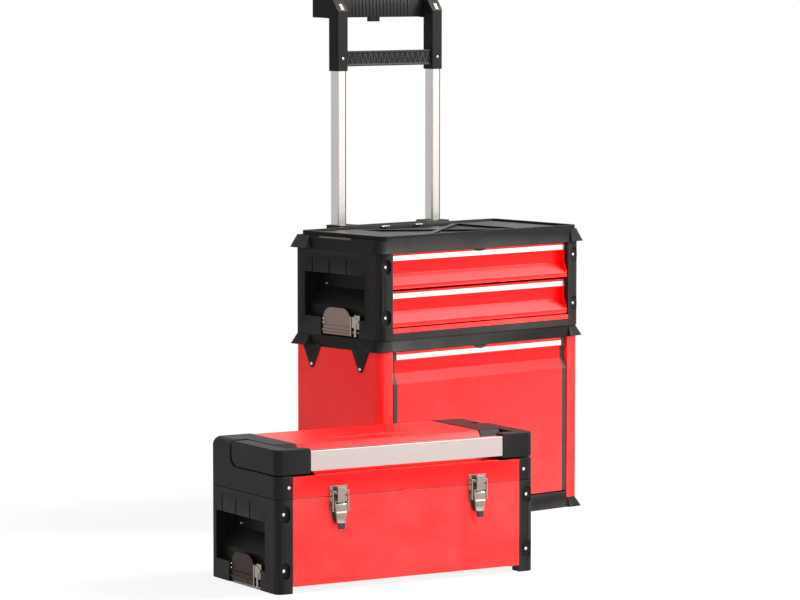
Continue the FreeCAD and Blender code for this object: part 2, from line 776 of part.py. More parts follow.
# Wheels, rails and handle
def make_wheels():
    """Two tyres on their hubs, the axle with its end caps, and the brackets that carry it."""
    outer = "wheel_inner + wheel_width"
    tread = "wheel_radius - tyre_height"
    tyre = [("wheel_inner + tyre_crown", tread), ("wheel_inner", f"{tread} + tyre_crown"),
            ("wheel_inner", "wheel_radius - tyre_crown"), ("wheel_inner + tyre_crown", "wheel_radius"),
            (f"{outer} - tyre_crown", "wheel_radius"), (outer, "wheel_radius - tyre_crown"),
            (outer, f"{tread} + tyre_crown"), (f"{outer} - tyre_crown", tread)]
    middle = "wheel_inner + wheel_width / 2"
    bore = "axle_radius + axle_clearance"
    felloe = f"{tread} - hub_rim"
    hub = [("wheel_inner + tyre_crown", bore), ("wheel_inner + tyre_crown", "hub_boss"),
           (f"{middle} - hub_web / 2", "hub_boss"), (f"{middle} - hub_web / 2", felloe),
           ("wheel_inner + tyre_crown", felloe), ("wheel_inner + tyre_crown", f"{tread} - pivot_clearance"),
           (f"{outer} - tyre_crown", f"{tread} - pivot_clearance"), (f"{outer} - tyre_crown", felloe),
           (f"{middle} + hub_web / 2", felloe), (f"{middle} + hub_web / 2", "hub_boss"),
           (f"{outer} - tyre_crown", "hub_boss"), (f"{outer} - tyre_crown", bore)]
    for name, points in (("tyre", tyre), ("hub", hub)):
        right = turned(points, "axle_y", "wheel_radius")
        node(f"wheel_{name}_right", right)
        node(f"wheel_{name}_left", mirrored(right))
    half = f"{outer} + axle_end"
    node("axle", rod("X", ("axle_y", "wheel_radius"), "axle_radius", (f"-({half})", half)))
    cap = rod("X", ("axle_y", "wheel_radius"), "axle_cap_radius",
              (f"{outer} - tyre_crown + seat_gap", f"{half} + axle_cap_width / 2"))
    bore_rod = rod("X", ("axle_y", "wheel_radius"), "axle_radius", (0, half))
    node("axle_caps", both(cut(cap, bore_rod)))
    sides = [("rear", "wheel_radius - bracket_boss"), ("axle_y", "wheel_radius - bracket_boss"),
             ("axle_y + bracket_boss", "wheel_radius"), ("axle_y", "wheel_radius + bracket_boss"),
             ("rear + bracket_boss", "frame_height + bracket_height"),
             ("rear", "frame_height + bracket_height")]
    plate = prism("X", ("bracket_x", "bracket_x + bracket_thickness"), sides)
    foot = box(("bracket_x - bracket_boss", "bracket_x + bracket_thickness"),
               ("rear", "rear + moulding"),
               ("wheel_radius - bracket_boss", "frame_height + bracket_height"))
    through = rod("X", ("axle_y", "wheel_radius"), "axle_radius", ("bracket_x - past", "wheel_inner"))
    node("axle_brackets", both(cut(fuse(plate, foot), through)))


def rail_form(z):
    """Outer form of the right outer rail, and of the hole that it sits in."""
    return tube_form("rail_width", "rail_depth", "rail_round", z)


def rail_room(z):
    """Room for the right tube with its play."""
    return tube_form("tube_width + 2 * tube_play", "tube_depth + 2 * tube_play", "tube_round", z)


def make_rails():
    """Outer rails on the back of the lower chest, and the three bars that hold them."""
    tall = ("rail_bottom", "guide_bottom")
    bore = rail_room(("rail_bottom + rail_wall", "guide_bottom + past"))
    node("outer_rails", both(cut(rail_form(tall), bore)))
    bars = []
    reach = "tube_x + rail_width / 2 + rail_clamp_wall"
    for low in ("rail_clamp_low", "rail_clamp_high"):
        z = (low, f"{low} + rail_clamp_height")
        bar = box((f"-({reach})", reach), ("rear", "tube_y + rail_depth / 2 + rail_clamp_wall"), z)
        hole = rail_form(z)
        gap = box(("-tube_x + rail_width", "tube_x - rail_width"),
                  ("rear + rail_clamp_wall", "head_rear"), z)
        bars.append(cut(bar, hole, mirrored(hole), gap))
    wide = "tube_x + guide_reach"
    z = ("guide_bottom", "guide_top")
    guide = box((f"-({wide})", wide), ("rear + guide_front", "tube_y + rail_depth / 2"), z)
    hole = rail_room(z)
    gap = box(("-tube_x + rail_width", "tube_x - rail_width"), ("rear + 2 * guide_front", "head_rear"), z)
    node("rail_bars", *bars, cut(guide, hole, mirrored(hole), gap))


def make_handle():
    """Sliding tubes, necks, cross bar and swept grip, with the sprung release under the grip."""
    tube = tube_form("tube_width", "tube_depth", "tube_round",
                     ("guide_top - tube_below - guide_height", "neck_bottom"))
    bore = tube_form("tube_width - 2 * tube_wall", "tube_depth - 2 * tube_wall", "tube_inner_round",
                     ("guide_top - tube_below - 2 * guide_height", "neck_bottom + past"))
    node("handle_tubes", both(cut(tube, bore)))
    side = [("neck_front", "neck_bottom"), ("neck_rear", "neck_bottom"), ("neck_rear", "head_low"),
            ("head_rear", "head_low"), ("head_rear", "head_top - neck_bend"),
            ("head_rear - neck_bend", "head_top"), ("neck_front + 2 * neck_bend", "head_top"),
            ("neck_front + neck_bend", "head_top - neck_bend"), ("neck_front", "neck_bottom + neck_height")]
    neck = prism("X", ("tube_x - neck_width / 2", "tube_x + neck_width / 2"), side)
    node("handle_necks", both(rounded(neck, "neck_round", upright)))
    inner = "tube_x - neck_width / 2"
    cross_low = "neck_bottom + crossbar_lift"
    bar = box((f"-({inner})", inner), ("tube_y - crossbar_depth / 2", "tube_y + crossbar_depth / 2"),
              (cross_low, f"{cross_low} + crossbar_height"))
    node("handle_crossbar", bar)
    section = [("grip_front_y", "head_low"), ("head_rear", "head_low"),
               ("head_rear", "head_top - neck_bend"), ("head_rear - neck_bend", "head_top"),
               ("grip_front_y + neck_bend / 2", "head_top"), ("grip_front_y", "head_top - neck_bend")]
    grip = prism("X", (f"-({inner})", inner), section)
    button_y = ("neck_front + button_y - button_depth / 2", "neck_front + button_y + button_depth / 2")
    pocket = box(("-button_width / 2 - button_play", "button_width / 2 + button_play"),
                 (f"{button_y[0]} - button_play", f"{button_y[1]} + button_play"),
                 ("head_low - past", "head_low + button_inside + button_drop + button_play"))
    node("handle_grip", cut(grip, pocket))
    node("release_button", box(("-button_width / 2", "button_width / 2"), button_y,
                               ("head_low - button_drop", "head_low + button_inside")))
    slope = [(f"neck_front + neck_bend * ({up}) / neck_slope_rise", f"neck_slope_low + {up}")
             for up in ("neck_plate_start", "neck_plate_start + neck_plate_height")]
    ahead = [(f"{y} - neck_plate_out", z) for y, z in reversed(slope)]
    plate = prism("X", ("tube_x - neck_plate_width / 2", "tube_x + neck_plate_width / 2"), slope + ahead)
    head = screw("Y", ("tube_x", "neck_bottom + neck_screw_lift"), "neck_front", "-")
    node("handle_bolts", *both(head).Links, *both(plate).Links)


# Moulded end of a module, with its hand recess and latch bay
def moulded_end(floor, height, y_front, half, opening, radius, fold_low, pockets, back_round=None):
    """Left end: an outer skin with a front column, a hand recess, a latch bay and screw pockets."""
    top = f"{floor} + {height}"
    skin = rounded_block((f"-{half}", f"-{opening}"), (y_front, "rear"), (floor, top), radius,
                         left_front_corner)
    room = box((f"-{half} + end_wall", f"-{opening} + past"),
               (f"{y_front} + end_front_wall", "rear - end_wall"), (f"{floor} - past", f"{top} + past"))
    if back_round:
        skin = rounded(skin, back_round, left_rear_corner)
        room = rounded(room, back_round, left_rear_corner)
    fold = box((f"-{opening} - end_wall", f"-{opening}"),
               (f"{y_front} + end_wall", f"{y_front} + column_return"), (fold_low, top))
    hand_y = ("rear - hand_rear - hand_length", "rear - hand_rear")
    bay_y = ("rear - bay_rear - bay_length", "rear - bay_rear")
    deep = f"-{half} + hand_depth"
    shallow = f"-{half} + bay_depth"
    hand_case = box((f"-{half} + end_wall / 2", f"{deep} + hand_wall"),
                    (f"{hand_y[0]} - hand_wall", f"{hand_y[1]} + hand_wall"),
                    (f"{floor} + hand_foot - hand_wall", f"{floor} + hand_top + hand_wall"))
    bay_case = box((f"-{half} + end_wall / 2", f"{shallow} + hand_wall"),
                   (f"{bay_y[0]} - hand_wall", f"{bay_y[1]} + hand_wall"), (floor, f"{floor} + hand_foot"))
    hand = prism("Y", hand_y, [
        (f"-{half} - past", f"{floor} + hand_top"), (deep, f"{floor} + hand_top - hand_wall"),
        (deep, f"{floor} + hand_floor"), (shallow, f"{floor} + bay_ramp"), (shallow, f"{floor} + hand_foot"),
        (f"-{half} - past", f"{floor} + hand_foot")])
    bay = box((f"-{half} - past", shallow), bay_y, (f"{floor} - past", f"{floor} + hand_foot + past"))
    cuts = [hand, bay]
    for number in range(3):
        middle = f"rear - groove_first - {number} * groove_pitch"
        cuts.append(box((f"-{half} - past", f"-{half} + groove_depth"),
                        (f"{middle} - groove_width / 2", f"{middle} + groove_width / 2"),
                        (f"{floor} + hand_top - past", f"{floor} + hand_top + groove_height")))
    for height_up in pockets:
        cuts.append(screw_pocket(f"-({opening} + pocket_inset)", y_front, f"{floor} + {height_up}"))
    return cut(fuse(cut(skin, room), fold, hand_case, bay_case), *cuts)


def screw_pocket(x, y_front, middle):
    """Upright slot with round ends, sunk into a column's front."""
    half = "(pocket_height - pocket_width) / 2"
    span = (f"{y_front} - past", f"{y_front} + pocket_depth")
    ends = [rod("Y", (x, f"{middle} {sign} {half}"), "pocket_width / 2", span) for sign in "+-"]
    flat = box((f"{x} - pocket_width / 2", f"{x} + pocket_width / 2"), span,
               (f"{middle} - {half}", f"{middle} + {half}"))
    return fuse(flat, *ends)


def end_screws(floor, y_front, half, opening, pockets):
    """Heads in the pockets of both columns, and the one in each hand recess."""
    across = f"-({opening} + pocket_inset)"
    heads = [screw("Y", (across, f"{floor} + {up}"), f"{y_front} + pocket_depth", "-") for up in pockets]
    heads.append(screw("X", ("rear - groove_first", f"{floor} + hand_screw_up"),
                       f"-{half} + hand_depth", "-"))
    return heads + [mirrored(head) for head in heads]


def side_latch(floor, half):
    """Left stacking latch: an arched plate on a knuckle near its foot."""
    out = f"-{half} + latch_sunk"
    low = f"{floor} + latch_lift"
    reach = ("rear - latch_rear - latch_length", "rear - latch_rear")
    plate = box((out, f"{out} + latch_thickness"), reach, (low, f"{low} + latch_height"))
    plate = rounded(plate, "latch_arch", latch_top_corner)
    pivot = (f"{out} + latch_thickness / 2", f"{floor} + latch_pivot_up")
    knuckle = rod("Y", pivot, "latch_knuckle", reach)
    pin = rod("Y", pivot, "latch_pin_radius",
              ("rear - bay_rear - bay_length + seat_gap", "rear - bay_rear - seat_gap"))
    return fuse(plate, knuckle, pin)


def latch_top_corner(edge, around):
    """Edge across the plate at one of its two top corners."""
    at = edge.CenterOfMass
    return runs_along(edge, "x") and near(at.z, around.ZMax)


def latch_bracket(floor, half):
    """Fixed angle beside the left latch, standing on the floor of its bay."""
    low = f"{floor} + latch_lift + latch_knuckle + latch_pivot_up"
    front_end = "rear - bay_rear - bay_length"
    z = (low, f"{floor} + keeper_height")
    face = box((f"-{half} + keeper_gap", f"-{half} + keeper_gap + keeper_thickness"),
               (f"{front_end} + seat_gap", f"{front_end} + keeper_length"), z)
    web = box((f"-{half} + keeper_gap", f"-{half} + bay_depth"),
              (f"{front_end} + keeper_thickness", f"{front_end} + 2 * keeper_thickness"), z)
    return fuse(face, web)


def make_latches(prefix, floor, half, in_box):
    """Left and right latches of a module, with their fixed angles."""
    left = side_latch(floor, half)
    node(f"{prefix}_latch_left", left, in_box=in_box)
    node(f"{prefix}_latch_right", mirrored(left), in_box=in_box)
    node(f"{prefix}_latch_angles", both(latch_bracket(floor, half)), in_box=in_box)


# Lift-off chest
def make_chest_case():
    """Moulded ends, base, red rail, back panel and runners."""
    pockets = ("chest_pocket_upper", "chest_pocket_lower")
    end = moulded_end("chest_floor", "chest_side_height", "chest_front", "chest_half", "chest_opening",
                      "chest_round", "chest_sill_top", pockets)
    node("chest_ends", both(end))
    across = ("-chest_opening + seat_gap", "chest_opening - seat_gap")
    front_sill = box(across, ("chest_front", "chest_front + plinth_depth"),
                     ("chest_floor", "chest_sill_top"))
    rear_sill = box(across, ("rear - moulding", "rear"), ("chest_floor", "chest_sill_top"))
    plate = box(across, ("chest_front + moulding", "rear - past"),
                ("chest_sill_top - chest_plate", "chest_sill_top"))
    node("chest_base", fuse(front_sill, rear_sill, plate))
    node("chest_rail", box(across, ("chest_front", "chest_front + column_return"),
                           ("chest_sill_top", "chest_rail_top")))
    node("chest_back", box(across, ("rear - moulding", "rear"), ("chest_sill_top", "chest_top")))
    heads = end_screws("chest_floor", "chest_front", "chest_half", "chest_opening", pockets)
    node("chest_screws", *heads)
    runners = []
    for top in ("drawer_upper_top", "drawer_lower_top"):
        low = f"{top} - drawer_lip_height - drawer_recess_height - drawer_slope_height + runner_lift / 2"
        start = "chest_front + drawer_recess_depth + 3 * sheet_metal"
        bar = box(("-runner_wall + seat_gap", "-drawer_tray_half - runner_gap"),
                  (start, f"{start} + runner_length"), (low, f"{low} + runner_height"))
        runners += [bar, mirrored(bar)]
    node("drawer_runners", *runners)


def make_deck():
    """Moulded top of the chest: a tray with a raised rim, pads and ribs, and catch strips at its sides."""
    slab = rounded_block(("-chest_half", "chest_half"), ("chest_front", "rear"),
                         ("chest_top", "deck_ledge"), "chest_round")
    under = box(("-chest_half + moulding", "chest_half - moulding"),
                ("chest_front + moulding", "rear - moulding"),
                ("chest_top - past", "deck_ledge - deck_plate"))
    skirts = ears("chest_half", "chest_front", "rear", ("chest_top + sheet_metal", "deck_ledge"))
    rim_x = "chest_half - deck_rim_inset"
    rim_z = ("deck_ledge - past", "deck_top")
    rim = rounded_block((f"-({rim_x})", rim_x), ("chest_front", "rear"), rim_z, "deck_round")
    within = box((f"-({rim_x}) + deck_rim_wall", f"{rim_x} - deck_rim_wall"),
                 ("chest_front + deck_rim_wall", "rear - deck_rim_wall"), ("deck_ledge", "deck_top + past"))
    pad_x = (f"-({rim_x}) + deck_rim_wall + deck_pad_gap",
             f"-({rim_x}) + deck_rim_wall + deck_pad_gap + deck_pad_width")
    pad_y = ("chest_front + deck_rim_wall + deck_pad_gap", "rear - deck_rim_wall - deck_pad_gap")
    pad_z = ("deck_ledge - past", "deck_ledge + deck_pad_height")
    pad = box(pad_x, pad_y, pad_z)
    foot = (f"{pad_x[1]} - deck_rib_width", f"{pad_x[1]} + deck_rib_width")
    ribs = [
        prism("Z", pad_z, [(foot[0], pad_y[0]), (foot[1], pad_y[0]),
                           ("0", "-deck_rib_width / 2"), ("0", "deck_rib_width / 2")]),
        prism("Z", pad_z, [(foot[0], pad_y[1]), (foot[1], pad_y[1]),
                           ("0", "deck_rib_width / 2"), ("0", "-deck_rib_width / 2")]),
    ]
    tops = [pad, *ribs]
    tops += [mirrored(piece) for piece in tops]
    node("chest_deck", fuse(cut(fuse(slab, *skirts), under), cut(rim, within), *tops))
    strip = box(("-chest_half - catch_thickness", "-chest_half"),
                ("rear - catch_rear - catch_length", "rear - catch_rear"),
                ("deck_ledge - catch_below", "deck_ledge - catch_below + catch_height"))
    node("deck_catches", both(strip))


def make_drawer(name, top):
    """One drawer: folded front with end plates, bright strip and sheet tray."""
    lip, recess, nose = (f"chest_front + drawer_{part}_depth" for part in ("lip", "recess", "nose"))
    lip_low = f"{top} - drawer_lip_height"
    recess_low = f"{lip_low} - drawer_recess_height"
    slope_low = f"{recess_low} - drawer_slope_height"
    low = f"{slope_low} - drawer_nose_height"
    back = f"{recess} + 2 * sheet_metal"
    heights = (top, lip_low, recess_low, slope_low, low)
    front = padded(folded_door((lip, recess, nose), heights, back), "2 * drawer_half")
    cheek_points = [(back, top), (lip, top), (lip, f"{recess_low} + 2 * sheet_metal"),
                    (nose, f"{slope_low} + 2 * sheet_metal"), (nose, low), (back, low)]
    cheek = prism("X", ("-drawer_half", "-drawer_half + sheet_metal"), cheek_points)
    node(f"{name}_front", fuse(front, cheek, mirrored(cheek)))
    node(f"{name}_strip", box(("-drawer_half", "drawer_half"), (f"{lip} - strip_thickness", lip),
                              (f"{top} - strip_drop + sheet_metal - strip_height",
                               f"{top} - strip_drop + sheet_metal")))
    half = "drawer_tray_half"
    tray = box((f"-{half}", half), (back, f"{back} + drawer_tray_depth"),
               (low, f"{low} + drawer_tray_height"))
    room = box((f"-{half} + sheet_metal", f"{half} - sheet_metal"),
               (f"{back} + sheet_metal", f"{back} + drawer_tray_depth - sheet_metal"),
               (f"{low} + sheet_metal", f"{low} + drawer_tray_height + past"))
    node(f"{name}_tray", cut(tray, room))


# Carrying box, in its own frame: the same axes as the chest, then set beside it
def make_box_case():
    """Red body between two moulded ends, with their screws and latches."""
    pockets = ("box_pocket_upper", "box_pocket_lower")
    end = moulded_end(0, "box_side_height", "front", "case_half", "box_opening", "corner_round", 0, pockets,
                      "lid_back_round")
    node("box_ends", both(end), in_box=True)
    wide = ("-box_opening + seat_gap", "box_opening - seat_gap")
    tall = ("box_base", "box_side_height")
    narrow = ("-box_inner_half", "box_inner_half")
    shell = box(narrow, ("front", "rear"), tall)
    room = box(("-box_inner_half + sheet_metal", "box_inner_half - sheet_metal"),
               ("front + sheet_metal", "rear - sheet_metal"),
               ("box_base + sheet_metal", "box_side_height + past"))
    faces = [box(wide, span, tall)
             for span in (("front", "front + sheet_metal"), ("rear - sheet_metal", "rear"))]
    node("box_body", cut(fuse(shell, *faces), room), in_box=True)
    heads = end_screws(0, "front", "case_half", "box_opening", pockets)
    node("box_screws", *heads, in_box=True)


def lid_section(gap, low):
    """(Y, Z) points of the lid's outline, moved in by a gap, open down to low."""
    top = f"lid_top - {gap}"
    step = f"lid_front_top - {gap}"
    face = f"front + {gap}"
    back = f"rear - {gap}"
    return [(face, low), (face, step), (f"front + lid_scoop_foot + {gap}", step),
            (f"front + lid_scoop_back + {gap}", f"{top} - lid_scoop_foot / 3"),
            (f"front + lid_scoop_back + lid_scoop_foot / 3 + {gap}", top),
            (f"{back} - lid_back_round", top), (back, f"{top} - lid_back_round"), (back, low)]


def make_lid():
    """Red lid pressed with a finger scoop behind the carrying bar, and its moulded caps."""
    span = ("-lid_top_half", "lid_top_half")
    shell = prism("X", span, lid_section(0, "lid_bottom"))
    room = prism("X", span, lid_section("sheet_metal", "lid_bottom - past"))
    wide = ("-box_opening + seat_gap", "box_opening - seat_gap")
    skirts = [box(wide, y, ("lid_bottom", "lid_front_top - sheet_metal"))
              for y in (("front", "front + sheet_metal"), ("rear - sheet_metal", "rear"))]
    node("box_lid", fuse(cut(shell, room), *skirts), in_box=True)
    cap = rounded_block(("-case_half", "-lid_top_half - seat_gap"), ("front", "rear"),
                        ("lid_bottom", "lid_cap_top"), "corner_round", left_front_corner)
    cap = rounded(cap, "lid_back_round", rear_top_edge)
    cap = rounded(cap, "lid_back_round", left_rear_corner)
    notch = box(("-case_half - past", "-arm_inside + arm_gap"),
                ("front - past", "front + arm_rear + arm_rear_gap"), ("arm_floor", "lid_cap_top + past"))
    notch = rounded(notch, "arm_lower_round", rear_foot_edge)
    scoop = prism("X", ("-case_half - past", "0"), [
        ("front - past", "lid_front_top"), ("front + lid_scoop_foot", "lid_front_top"),
        ("front + lid_scoop_back", "lid_top - lid_scoop_foot / 3"),
        ("front + lid_scoop_back + lid_scoop_foot / 3", "lid_cap_top + past"),
        ("front - past", "lid_cap_top + past")])
    past_skirt = "sheet_metal + seat_gap"
    slots = [box(("-box_opening", "0"), y, ("lid_bottom - past", "lid_front_top"))
             for y in (("front - past", f"front + {past_skirt}"), (f"rear - ({past_skirt})", "rear + past"))]
    room = box(("-case_half + end_wall", "0"), ("front + end_front_wall", "rear - end_front_wall"),
               ("lid_bottom - past", "arm_floor - end_wall"))
    pivot = ("front + arm_pivot_depth", "arm_pivot_up")
    hole = rod("X", pivot, "arm_pin_radius + pivot_clearance",
               ("-arm_inside - past", "-arm_inside + arm_pin_length + past"))
    node("lid_caps", both(cut(cap, notch, scoop, *slots, room, hole)), in_box=True)
    head = screw("Y", ("-(box_opening + pocket_inset / 2)", "lid_bottom + lid_front_height / 2"),
                 "front", "-")
    node("lid_screws", both(head), in_box=True)


def rear_top_edge(edge, around):
    """Edge along X at the top of the back."""
    at = edge.CenterOfMass
    return runs_along(edge, "x") and near(at.z, around.ZMax) and near(at.y, around.YMax)


def rear_foot_edge(edge, around):
    """Edge along X at the bottom of the back."""
    at = edge.CenterOfMass
    return runs_along(edge, "x") and near(at.z, around.ZMin) and near(at.y, around.YMax)


def left_rear_corner(edge, around):
    """Upright edge at the back on the left."""
    at = edge.CenterOfMass
    return runs_along(edge, "z") and near(at.x, around.XMin) and near(at.y, around.YMax)


def make_carry_handle():
    """Bright bar between two moulded arms that turn on pins in the lid's caps."""
    edge_cut = "lid_back_round / 2"
    side = [("front", "arm_bottom"), ("front + arm_rear", "arm_bottom"),
            ("front + arm_rear", f"arm_top - {edge_cut}"),
            (f"front + arm_rear - {edge_cut}", "arm_top"), ("front", "arm_top")]
    along = rounded(prism("X", ("-arm_half", "-arm_inside"), side), "arm_lower_round", rear_foot_edge)
    ahead = box(("-arm_half", "-arm_inner"), ("front", "front + arm_front_depth"), ("arm_bottom", "arm_top"))
    arm = rounded(fuse(along, ahead), "corner_round", left_front_corner)
    pin = rod("X", ("front + arm_pivot_depth", "arm_pivot_up"), "arm_pin_radius",
              ("-arm_inside - past", "-arm_inside + arm_pin_length"))
    node("carry_arms", both(fuse(arm, pin)), in_box=True)
    node("carry_bar", box(("-arm_inner", "arm_inner"), ("front", "front + bar_thickness"),
                          ("bar_bottom", "bar_top")), in_box=True)


def make_lid_hinges():
    """Two hinges at the back: leaf, knuckles and pin on the body, leaf and middle knuckle on the lid."""
    lower = []
    upper = []
    for sign in ("", "-"):
        centre = f"{sign}hinge_x"
        ends = (f"{centre} - hinge_length / 2", f"{centre} + hinge_length / 2")
        inner = (f"{centre} - hinge_length / 6", f"{centre} + hinge_length / 6")
        place = ("hinge_y", "hinge_z")
        leaf_low = box(ends, ("rear", "rear + draw_plate"),
                       ("hinge_z - 6 * hinge_knuckle", "hinge_z - hinge_knuckle"))
        barrels = []
        for span in ((ends[0], f"{inner[0]} - seat_gap"), (f"{inner[1]} + seat_gap", ends[1])):
            barrels.append(rod("X", place, "hinge_knuckle", span))
            barrels.append(box(span, ("rear + seat_gap", "hinge_y"), ("hinge_z - hinge_knuckle", "hinge_z")))
            barrels.append(box(span, ("rear + seat_gap", "rear + draw_plate"),
                               ("hinge_z - 2 * hinge_knuckle", "hinge_z")))
        pin = rod("X", place, "hinge_pin_radius", ends)
        lower.append(fuse(leaf_low, *barrels, pin))
        leaf_high = box(ends, ("rear", "rear + draw_plate"),
                        ("hinge_z + 2 * hinge_knuckle", "hinge_z + 6 * hinge_knuckle"))
        neck = box(inner, ("rear", "rear + draw_plate"), ("hinge_z", "hinge_z + 3 * hinge_knuckle"))
        web = box(inner, ("rear + seat_gap", "hinge_y"), ("hinge_z", "hinge_z + hinge_knuckle"))
        ring = rod("X", place, "hinge_knuckle", inner)
        hole = rod("X", place, "hinge_pin_radius + pivot_clearance",
                   (f"{inner[0]} - past", f"{inner[1]} + past"))
        upper.append(cut(fuse(leaf_high, neck, web, ring), hole))
    node("hinge_leaves_body", *lower, in_box=True)
    node("hinge_leaves_lid", *upper, in_box=True)


def tapered(centre, half, foot_half, top, foot):
    """(X, Z) outline of a pressing that runs straight down to the taper and narrows from there."""
    return [(f"{centre} - {half}", top), (f"{centre} + {half}", top),
            (f"{centre} + {half}", "draw_taper_up"), (f"{centre} + {foot_half}", foot),
            (f"{centre} - {foot_half}", foot), (f"{centre} - {half}", "draw_taper_up")]


def draw_latch(side):
    """Base, keeper, lever and loop of one draw latch; side is + for the right one, - for the left."""
    centre = f"{side}draw_x"
    half_plate = "draw_plate_width / 2"
    half_lever = "draw_lever_width / 2"
    pivot = ("draw_pivot_y", "draw_pivot_up")
    base = prism("Y", ("draw_face", "front"),
                 tapered(centre, half_plate, "draw_foot_width / 2", "draw_base_top", "draw_base_bottom"))
    lug_in = f"({half_lever} + seat_gap)"
    lugs = []
    for sign in "+-":
        inner = f"{centre} {sign} ({lug_in})"
        outer = f"{centre} {sign} ({lug_in} + draw_plate)"
        span = (inner, outer) if sign == "+" else (outer, inner)
        lug = box(span, ("draw_pivot_y - draw_knuckle", "front"),
                  ("draw_pivot_up - 2 * draw_knuckle", "draw_pivot_up + 2 * draw_knuckle"))
        lugs.append(lug)
    hole = rod("X", pivot, "draw_pin_radius + pivot_clearance",
               (f"{centre} - {half_plate}", f"{centre} + {half_plate}"))
    base = cut(fuse(base, *lugs), hole)
    keeper = fuse(box((f"{centre} - {half_plate}", f"{centre} + {half_plate}"), ("draw_face", "front"),
                      ("draw_keeper_bottom", "draw_keeper_top")),
                  box((f"{centre} - {half_lever}", f"{centre} + {half_lever}"),
                      ("draw_face - draw_hook_out", "front"),
                      ("draw_hook_up", "draw_hook_up + draw_hook_height")))
    wide = (f"{centre} - {half_lever}", f"{centre} + {half_lever}")
    arm_y = ("draw_pivot_y - draw_knuckle", "draw_pivot_y - draw_knuckle + draw_lever_sheet")
    arm = prism("Y", arm_y,
                tapered(centre, half_lever, "draw_tip_width / 2", "draw_pivot_up", "draw_lever_tip"))
    foot = box((f"{centre} - draw_tip_width / 2", f"{centre} + draw_tip_width / 2"),
               ("draw_pivot_y - 2 * draw_knuckle", arm_y[1]),
               ("draw_lever_tip", "draw_lever_tip + draw_tip_height"))
    sides = ((wide[0], f"{wide[0]} + draw_lever_sheet"), (f"{wide[1]} - draw_lever_sheet", wide[1]))
    cheek_y = (arm_y[0], f"{arm_y[0]} + draw_cheek_depth")
    cheeks = [box(side, cheek_y, ("draw_taper_up", "draw_pivot_up")) for side in sides]
    knuckle = rod("X", pivot, "draw_knuckle", wide)
    pin = rod("X", pivot, "draw_pin_radius",
              (f"{centre} - {lug_in} - draw_plate", f"{centre} + {lug_in} + draw_plate"))
    lever = fuse(arm, foot, *cheeks, knuckle, pin)
    leg = f"({lug_in} + draw_plate + 2 * draw_loop_wire)"
    wire_y = ("draw_pivot_y - draw_loop_wire", "draw_pivot_y + draw_loop_wire")
    leg_z = ("draw_loop_pivot - draw_loop_wire", "draw_loop_top + draw_loop_wire")
    legs = [box((f"{centre} {sign} {leg} - draw_loop_wire", f"{centre} {sign} {leg} + draw_loop_wire"),
                wire_y, leg_z) for sign in "+-"]
    top_bar = box((f"{centre} - {leg}", f"{centre} + {leg}"), wire_y,
                  ("draw_loop_top - draw_loop_wire", "draw_loop_top + draw_loop_wire"))
    spans = ((f"{centre} - {leg}", f"{centre} - {lug_in}"), (f"{centre} + {lug_in}", f"{centre} + {leg}"))
    stubs = [rod("X", ("draw_pivot_y", "draw_loop_pivot"), "0.9 * draw_loop_wire", span) for span in spans]
    loop = fuse(*legs, top_bar, *stubs)
    return base, keeper, lever, loop


def make_draw_latches():
    """Both draw latches: bases on the body, keepers on the lid, levers and loops by themselves."""
    bases = []
    keepers = []
    for name, side in (("left", "-"), ("right", "")):
        base, keeper, lever, loop = draw_latch(side)
        bases.append(base)
        keepers.append(keeper)
        node(f"draw_lever_{name}", lever, in_box=True)
        node(f"draw_loop_{name}", loop, in_box=True)
    node("draw_bases", *bases, in_box=True)
    node("draw_keepers", *keepers, in_box=True)


def check(item):
    """Stops at an object that failed, or a sub-part whose shape is empty or broken."""
    if "Invalid" in item.State or "Error" in item.State:
        raise RuntimeError(f"{item.Label} did not compute: {item.State}")
    if item in NODES and (item.Shape.isNull() or not item.Shape.isValid() or not item.Shape.Solids):
        raise RuntimeError(f"{item.Label} has no valid solid")


def make_all():
    """Builds the trolley and writes each sub-part."""
    make_base_frame()
    make_lower_shell()
    make_collar()
    make_bin()
    make_wheels()
    make_rails()
    make_handle()
    make_chest_case()
    make_deck()
    make_drawer("drawer_upper", "drawer_upper_top")
    make_drawer("drawer_lower", "drawer_lower_top")
    make_latches("chest", "chest_floor", "chest_half", False)
    make_box_case()
    make_lid()
    make_carry_handle()
    make_lid_hinges()
    make_draw_latches()
    make_latches("box", 0, "case_half", True)
    doc.recompute()
    for item in doc.Objects:
        check(item)
    os.makedirs("parts", exist_ok=True)
    for item in NODES:
        item.Shape.exportStep(os.path.join("parts", f"{item.Label}.step"))
    print(f"{len(NODES)} sub-parts written")


make_all()
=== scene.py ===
import json
import logging
import math
from collections.abc import Iterable, Sequence
from dataclasses import dataclass
from enum import Enum

import bmesh
import bpy
from bmesh.types import BMEdge, BMesh, BMVert
from bpy.types import ID, Material, Mesh, NodeOutputs, NodeSocket, NodeTree, Object, World
from mathutils import Matrix, Vector
from mathutils.bvhtree import BVHTree

